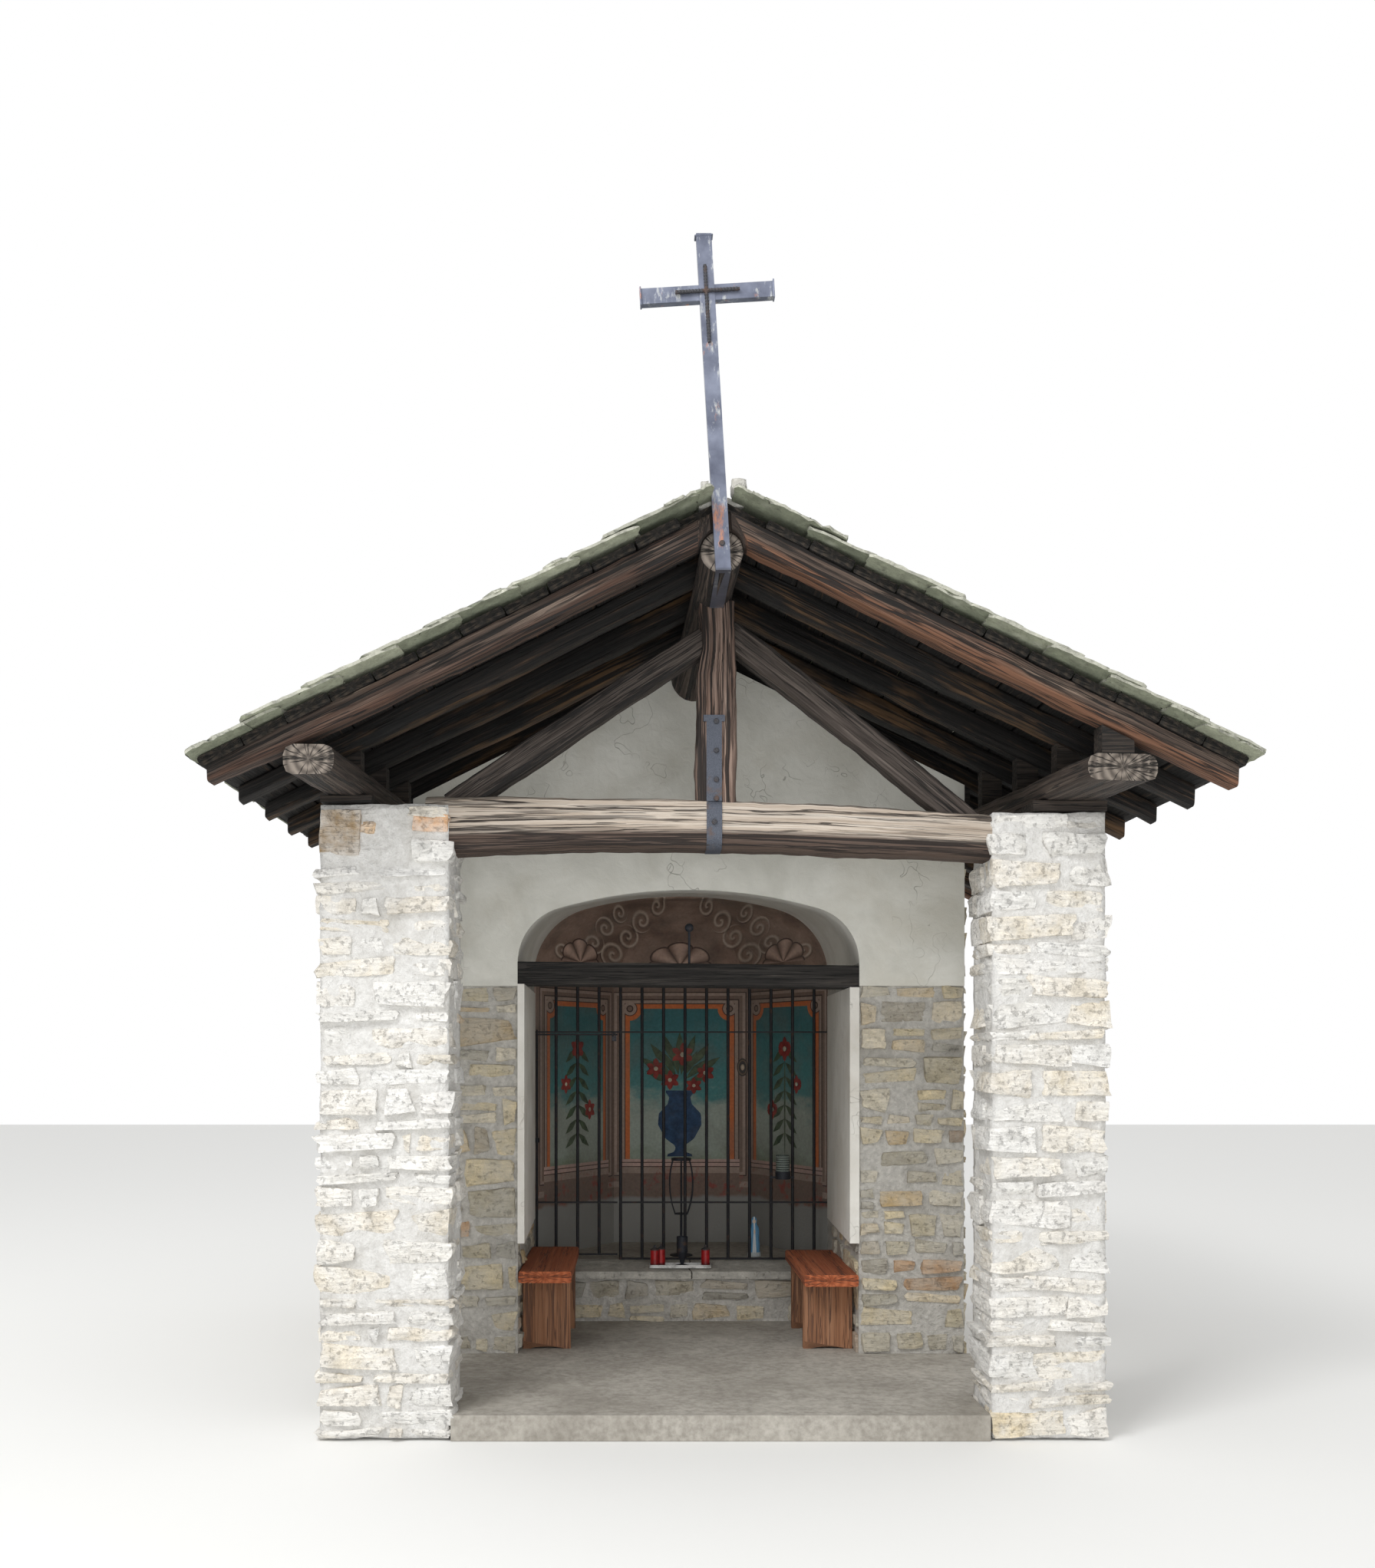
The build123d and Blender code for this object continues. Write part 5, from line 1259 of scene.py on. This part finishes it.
# Iron, painted steel and small metal
def ironMaterial(name, dark, lighter, rust, rustAmount, metallic=0.5, roughness=0.6):
    coords = newMaterial(name, roughness, metallic)
    worn = useGroup(dirtGroup, Vector=coords, Scale=14.0, Amount=rustAmount)
    color = blendColor(spread(worn["Fine"], 0.4, 0.62), dark, lighter)
    return closeMaterial(
        blendColor(worn["Mask"], color, rust), worn["Fine"], 0.0015,
        Roughness=spread(worn["Mask"], 0, 1, roughness, 0.88), Metallic=spread(worn["Mask"], 0, 1, metallic, 0.1))


finishNodes(ironMaterial("grilleIron", (30, 30, 33), (46, 46, 50), (92, 62, 44), 0.35),
            "fixed_grille", "grille_transom", "grille_gate", "gate_hinges")
finishNodes(ironMaterial("strapIron", (70, 74, 84), (100, 105, 116), (106, 84, 70), 0.35), "king_strap")
finishNodes(ironMaterial("standIron", (34, 36, 42), (54, 58, 66), (90, 66, 50), 0.4),
            "iron_vase", "flower_stand", "beam_finial", "jar_holder")
finishNodes(ironMaterial("trayEnamel", (206, 206, 204), (228, 228, 226), (116, 112, 108), 0.55, 0.0, 0.5), "tray")
boltIron = ironMaterial("boltIron", (52, 52, 56), (84, 84, 88), (110, 80, 60), 0.5)

coords = newMaterial("crossPaint", 0.5, 0.35)
chalk = spread(noiseAt(mapVector(coords, scale=(1, 1, 0.35)), 24.0, 6, 0.7), 0.57, 0.70)
rust = spread(noiseAt(mapVector(coords, (4.0, 0, 1.0), scale=(1, 1, 0.4)), 13.0, 5, 0.65), 0.6, 0.68)
color = blendColor(spread(noiseAt(coords, 9.0, 4), 0.3, 0.7), (86, 91, 108), (130, 136, 154))
color = blendColor(chalk * 0.75, color, (216, 218, 214))
color = blendColor(rust * 0.85, color, (192, 132, 100))
level = splitAxes(coords)[2]
color = blendColor(spread(level, 3.905, 3.885), color, blendColor(chalk, (30, 30, 31), (60, 58, 56)))
crossPaint = closeMaterial(
    color, chalk + rust, 0.0008, Roughness=spread(chalk, 0, 1, 0.42, 0.8),
    Metallic=spread(level, 3.885, 3.905, 0.0, 0.35))
finishNodes(crossPaint, "cross_post", "cross_arm")

# Cross: flared caps on its three ends and a thin ribbed rod cross laid on its front
crossWork = {
    "lean": 3.4, "front": -0.480, "rod": 0.007, "swell": 1.28, "cap": 0.007, "capWide": 0.080, "capDeep": 0.044,
    "armReach": 0.2875, "top": 5.343, "armZ": 5.093, "rods": (
        (-0.0895, 5.2070, -0.0697, 4.8730, 24), (-0.2170, 5.0880, 0.0612, 5.1046, 20))}
capDeep, capWide, thin = crossWork["capDeep"], crossWork["capWide"], crossWork["cap"]
capSpots = [((crossAt(crossWork["top"]), -0.460, crossWork["top"] - thin / 2), (capWide, capDeep, thin))]
for way in (-1, 1):
    reach = way * crossWork["armReach"]
    capSpots.append(((crossAt(crossWork["armZ"]) + reach, -0.462, crossWork["armZ"] + reach * crossSlot["lean"]),
                     (thin, capDeep, capWide)))
caps = []
for spot, size in capSpots:
    caps.append(addBox(moveTo(spot) @ turnBy(-crossWork["lean"], "Y") @ stretchBy(size)))
    applyModifier(caps[-1], "BEVEL", width=0.0025, segments=2)


def ribbedRod(start, end, radius, ribs):
    # reinforcing rod: a round bar with a ring pressed out at each rib
    place, length = between(start, end, (0, 1, 0))
    rod = addShape(
        bpy.ops.mesh.primitive_cylinder_add, vertices=10, radius=radius, depth=length,
        rotation=(0, math.radians(90), 0))
    editLong(rod, length / 2, bpy.ops.mesh.subdivide, number_cuts=ribs * 2)
    step = length / (ribs * 2 + 1)
    for vertex in rod.data.vertices:
        ring = round((vertex.co.x + length / 2) / step)
        if ring % 2 and 0 < ring < ribs * 2 + 1:
            vertex.co.y *= crossWork["swell"]
            vertex.co.z *= crossWork["swell"]
    rod.data.transform(place)
    return rod


rodY = crossWork["front"] - crossWork["rod"] * 0.8
rods = [ribbedRod((x0, rodY, z0), (x1, rodY, z1), crossWork["rod"], ribs)
        for x0, z0, x1, z1, ribs in crossWork["rods"]]
caps = joinPieces(caps, "crossCaps", crossPaint)
rodCross = joinPieces(rods, "rodCross", boltIron)

# Bolts: a domed nut, modelled once
boltWork = {"radius": 0.013, "height": 0.012, "spots": (
    (-0.010, 0.030, 3.360), (-0.010, 0.030, 3.223), (-0.010, 0.030, 3.087), (-0.010, 0.030, 2.998),
    (-0.020, 0.008, 2.886), (crossAt(4.008), -0.482, 4.008))}
boltShape = addShape(
    bpy.ops.mesh.primitive_cylinder_add, vertices=12, radius=boltWork["radius"], depth=boltWork["height"],
    rotation=(math.radians(90), 0, 0))
applyModifier(boltShape, "BEVEL", width=0.004, segments=2, limit_method="ANGLE")
bolts = [copyOf(boltShape) for spot in boltWork["spots"]]
for bolt, spot in zip(bolts, boltWork["spots"]):
    bolt.data.transform(moveTo(spot))
dropPiece(boltShape)
joinPieces(bolts, "bolts", boltIron)
print("metalwork set")

# Small things on the sill, the grille and the apse wall
smallWork = {
    "candles": ((-0.266, 2.382), (-0.226, 2.420), (0.056, 2.400)), "figure": (0.398, 2.800),
    "cap": ((0.0, 0.0285), (0.005, 0.0285), (0.009, 0.020), (0.016, 0.008), (0.020, 0.006), (0.026, 0.008),
            (0.031, 0.006), (0.033, 0.0005)),
    "robe": ((0.0, 0.044), (0.026, 0.044), (0.030, 0.036), (0.07, 0.037), (0.12, 0.033), (0.165, 0.034),
             (0.190, 0.031), (0.208, 0.020), (0.216, 0.0165), (0.232, 0.0195), (0.248, 0.017), (0.260, 0.008),
             (0.264, 0.0005)),
    "lock": (0.030, 0.014, 0.036), "lockZ": 1.905, "bow": 0.022}
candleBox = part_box("candles")
coords = newMaterial("waxRed", 0.42)
smoke = noiseAt(coords, 26.0, 4)
foot = candleBox[0].z
color = blendColor(spread(smoke, 0.35, 0.65), (122, 12, 16), (176, 26, 30))
color = blendColor(spread(splitAxes(coords)[2], foot + 0.026, foot + 0.020), color, (96, 10, 14))
finishNodes(closeMaterial(color, smoke, 0.001), "candles")
coords = newMaterial("jarGlass", 0.14)
ribs = calc("SINE", splitAxes(coords)[2] * 420.0)
color = blendColor(spread(ribs, -1, 1), (112, 124, 118), (188, 200, 194))
finishNodes(closeMaterial(color, ribs, 0.003, **{"Transmission Weight": 0.55, "IOR": 1.45}), "votive_jar")

coords = newMaterial("medalPaint", 0.6)
x, y, z = splitAxes(coords)
low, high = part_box("medallion")
across = (x - (low.x + high.x) / 2) / ((high.x - low.x) / 2)
up = (z - (low.z + high.z) / 2) / ((high.z - low.z) / 2)
grainy = noiseAt(coords, 90.0, 4, 0.6)
color = rampColor(calc("SQRT", across * across + up * up) + grainy * 0.12, (
    (0.0, (196, 182, 160)), (0.36, (160, 140, 118)), (0.44, (40, 33, 30)), (0.74, (52, 42, 36)),
    (0.82, (112, 92, 66)), (0.98, (44, 36, 32))))
finishNodes(closeMaterial(color, grainy, 0.001), "medallion")
caps = [turnedShape((x, y, candleBox[1].z - 0.002), smallWork["cap"], 1.0, 14) for x, y in smallWork["candles"]]
joinPieces(caps, "candleCaps", boltIron)

# Statuette: a robe with a veil over it, a plain face and folded hands
figX, figY = smallWork["figure"]
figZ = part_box("statuette")[0].z
coords = newMaterial("figPaint", 0.55)
x, y, z = splitAxes(coords)
height = z - figZ
folds = calc("SINE", x * 620.0 + height * 40.0)
weave = spread(folds, -1, 1)
white = (y < figY - 0.004) * (abs(x - figX) < spread(height, 0.03, 0.20, 0.013, 0.005))
color = blendColor(weave, (76, 138, 188), (120, 178, 214))
color = blendColor(white, color, blendColor(weave, (206, 214, 220), (240, 242, 242)))
figPaint = closeMaterial(blendColor(spread(height, 0.030, 0.026), color, (196, 204, 206)), folds, 0.0015)
coords = newMaterial("skinPaint", 0.6)
x, y, z = splitAxes(coords)
aside = abs(x - figX)
eyeAt = ((aside - 0.0046) / 0.0020) ** 2.0 + ((z - (figZ + 0.2345)) / 0.0009) ** 2.0
mouthAt = (aside / 0.0028) ** 2.0 + ((z - (figZ + 0.2245)) / 0.0009) ** 2.0
color = blendColor(noiseAt(coords, 120.0, 3), (228, 204, 184), (236, 216, 198))
color = blendColor(eyeAt < 1.0, color, (84, 66, 58))
skinPaint = closeMaterial(blendColor(mouthAt < 1.0, color, (184, 110, 100)))
robe = joinPieces([turnedShape((figX, figY, figZ), smallWork["robe"], 0.92, 26)], "figureRobe", figPaint)
face = addShape(
    bpy.ops.mesh.primitive_uv_sphere_add, stretchBy((0.0125, 0.0105, 0.0155)), segments=20, ring_count=14, radius=1)
for vertex in face.data.vertices:
    # a nose
    if abs(vertex.co.x) < 0.0022 and -0.004 < vertex.co.z < 0.003 and vertex.co.y < 0:
        vertex.co.y -= 0.0022
face.data.transform(moveTo((figX, figY - 0.0115, figZ + 0.2315)))
bpy.ops.object.shade_smooth()
skin = [face]
for way in (-1, 1):
    skin.append(addShape(
        bpy.ops.mesh.primitive_uv_sphere_add,
        moveTo((figX + way * 0.0034, figY - 0.0345, figZ + 0.166)) @ Matrix.Rotation(-0.45, 4, "X") @ stretchBy(
            (0.0034, 0.0055, 0.0150)), segments=12, ring_count=8, radius=1))
    bpy.ops.object.shade_smooth()
skin = joinPieces(skin, "figureSkin", skinPaint)
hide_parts("statuette")

# Padlock hung on the gate's free stile
low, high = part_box("grille_gate")
lockAt = Vector((high.x - 0.022, low.y - smallWork["lock"][1] / 2 - 0.001, smallWork["lockZ"]))
lock = addBox(moveTo(lockAt) @ stretchBy(smallWork["lock"]))
applyModifier(lock, "BEVEL", width=0.003, segments=3)
bow = addShape(
    bpy.ops.mesh.primitive_torus_add,
    moveTo(lockAt + Vector((0, 0, smallWork["bow"]))) @ stretchBy((1, 1, 1.5)) @ turnBy(90, "X"),
    major_radius=0.010, minor_radius=0.0026, major_segments=20, minor_segments=8)
bpy.ops.object.shade_smooth()
padlock = joinPieces([lock, bow], "padlock", boltIron, "gate")
print("small things set")

# Benches: worn plank seats on plank legs with a shallow arch cut in the foot
benchSeat = timberMaterial(
    "benchSeat", ((132, 70, 43), (150, 82, 50), (162, 92, 58), (178, 110, 74)), (96, 52, 34),
    ((160, 82, 46), (186, 104, 64)), 7.0, 42.0, 0.002, fineness=2.4)
benchLeg = timberMaterial(
    "benchLeg", ((134, 92, 66), (148, 103, 74), (158, 114, 84), (170, 128, 98)), (100, 70, 54), brownEnd, 8.0, 56.0,
    0.003, fineness=2.4)
benchWork = {
    "front": 1.340, "length": 1.030, "seat": 0.065, "leg": 0.055, "inset": 0.160, "spacing": 0.600, "narrow": 0.012,
    "left": {"x": (-1.044, -0.747), "top": 0.585}, "right": {"x": (0.559, 0.862), "top": 0.565},
    "floor": 0.120, "arch": (0.092, 1, 0.014), "archZ": 0.118, "peg": (0.007, 0.006), "pegAt": 0.32, "pegDrop": 0.088}
for hand in ("left", "right"):
    (x0, x1), top = benchWork[hand]["x"], benchWork[hand]["top"]
    middle, width = (x0 + x1) / 2, x1 - x0
    seatMiddle = benchWork["front"] + benchWork["length"] / 2
    under = top - benchWork["seat"]
    place, length = between(
        (middle, seatMiddle + benchWork["length"] / 2, top - benchWork["seat"] / 2),
        (middle, seatMiddle - benchWork["length"] / 2, top - benchWork["seat"] / 2))
    seat = hewTimber(length, width, benchWork["seat"], place, 0.011, 16, 0.12, 0.15, 0.6)
    legs, pegs = [], []
    for step in (0, benchWork["spacing"]):
        y = benchWork["front"] + benchWork["inset"] + step + benchWork["leg"] / 2
        place, length = between((middle, y, benchWork["floor"]), (middle, y, under), (0, 1, 0))
        leg = hewTimber(length, width - 2 * benchWork["narrow"], benchWork["leg"], place, 0.004, 8, 0.08, 0.1, 0.5)
        cutAway(leg, addShape(
            bpy.ops.mesh.primitive_cylinder_add,
            moveTo((middle, y, benchWork["archZ"])) @ stretchBy(benchWork["arch"]) @ turnBy(90, "X"),
            vertices=40, radius=1, depth=1))
        legs.append(leg)
        for way in (-benchWork["pegAt"], benchWork["pegAt"]):
            peg = addShape(
                bpy.ops.mesh.primitive_cylinder_add, vertices=10, radius=benchWork["peg"][0],
                depth=benchWork["peg"][1], rotation=(math.radians(90), 0, 0))
            applyModifier(peg, "BEVEL", width=0.0015, segments=2, limit_method="ANGLE")
            peg.data.transform(moveTo((middle + way * width, y - benchWork["leg"] / 2, top - benchWork["pegDrop"])))
            pegs.append(peg)
    seat = joinPieces([seat], hand + "BenchSeat", benchSeat)
    legs = joinPieces(legs, hand + "BenchLegs", benchLeg)
    pegs = joinPieces(pegs, hand + "BenchPegs", blockTimber)
    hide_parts(hand + "_bench")
    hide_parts(hand + "_bench")
print("benches set")

# Floor and lights of the studio
studio = {
    "floor": 60.0, "floorZ": -0.002, "worldLight": 0.80, "lamps": (
        ((-6.0, -8.0, 12.0), (0, 0.4, 1.6), 1050.0, 5.0), ((0.3, -9.0, 1.0), (0, 2.6, 1.9), 190.0, 4.0))}
floor = addShape(bpy.ops.mesh.primitive_plane_add, moveTo((0, 0, studio["floorZ"])), size=studio["floor"])
floor.name = "studioFloor"
newMaterial("paleFloor", 0.9)
floor.data.materials.append(closeMaterial(tint(240, 240, 238)))
world = bpy.data.worlds.new("studioAir")
world.use_nodes = True
bpy.context.scene.world = world
now["tree"] = world.node_tree
rays = addNode("ShaderNodeLightPath", {}).socket.node.outputs
straight = calc("MAXIMUM", Wire(rays["Is Camera Ray"]), Wire(rays["Is Glossy Ray"]))
straight = calc("MAXIMUM", straight, Wire(rays["Is Transmission Ray"]))
strength = spread(straight, 0, 1, studio["worldLight"], 1.0)
fill(world.node_tree.nodes["Background"], {"Strength": strength, "Color": (1, 1, 1, 1)})
for place, target, power, size in studio["lamps"]:
    bpy.ops.object.light_add(type="AREA", location=place)
    lamp = bpy.context.object
    lamp.data.energy = power
    lamp.data.size = size
    lamp.rotation_euler = (Vector(target) - Vector(place)).to_track_quat("-Z", "Y").to_euler()
print("studio ready")
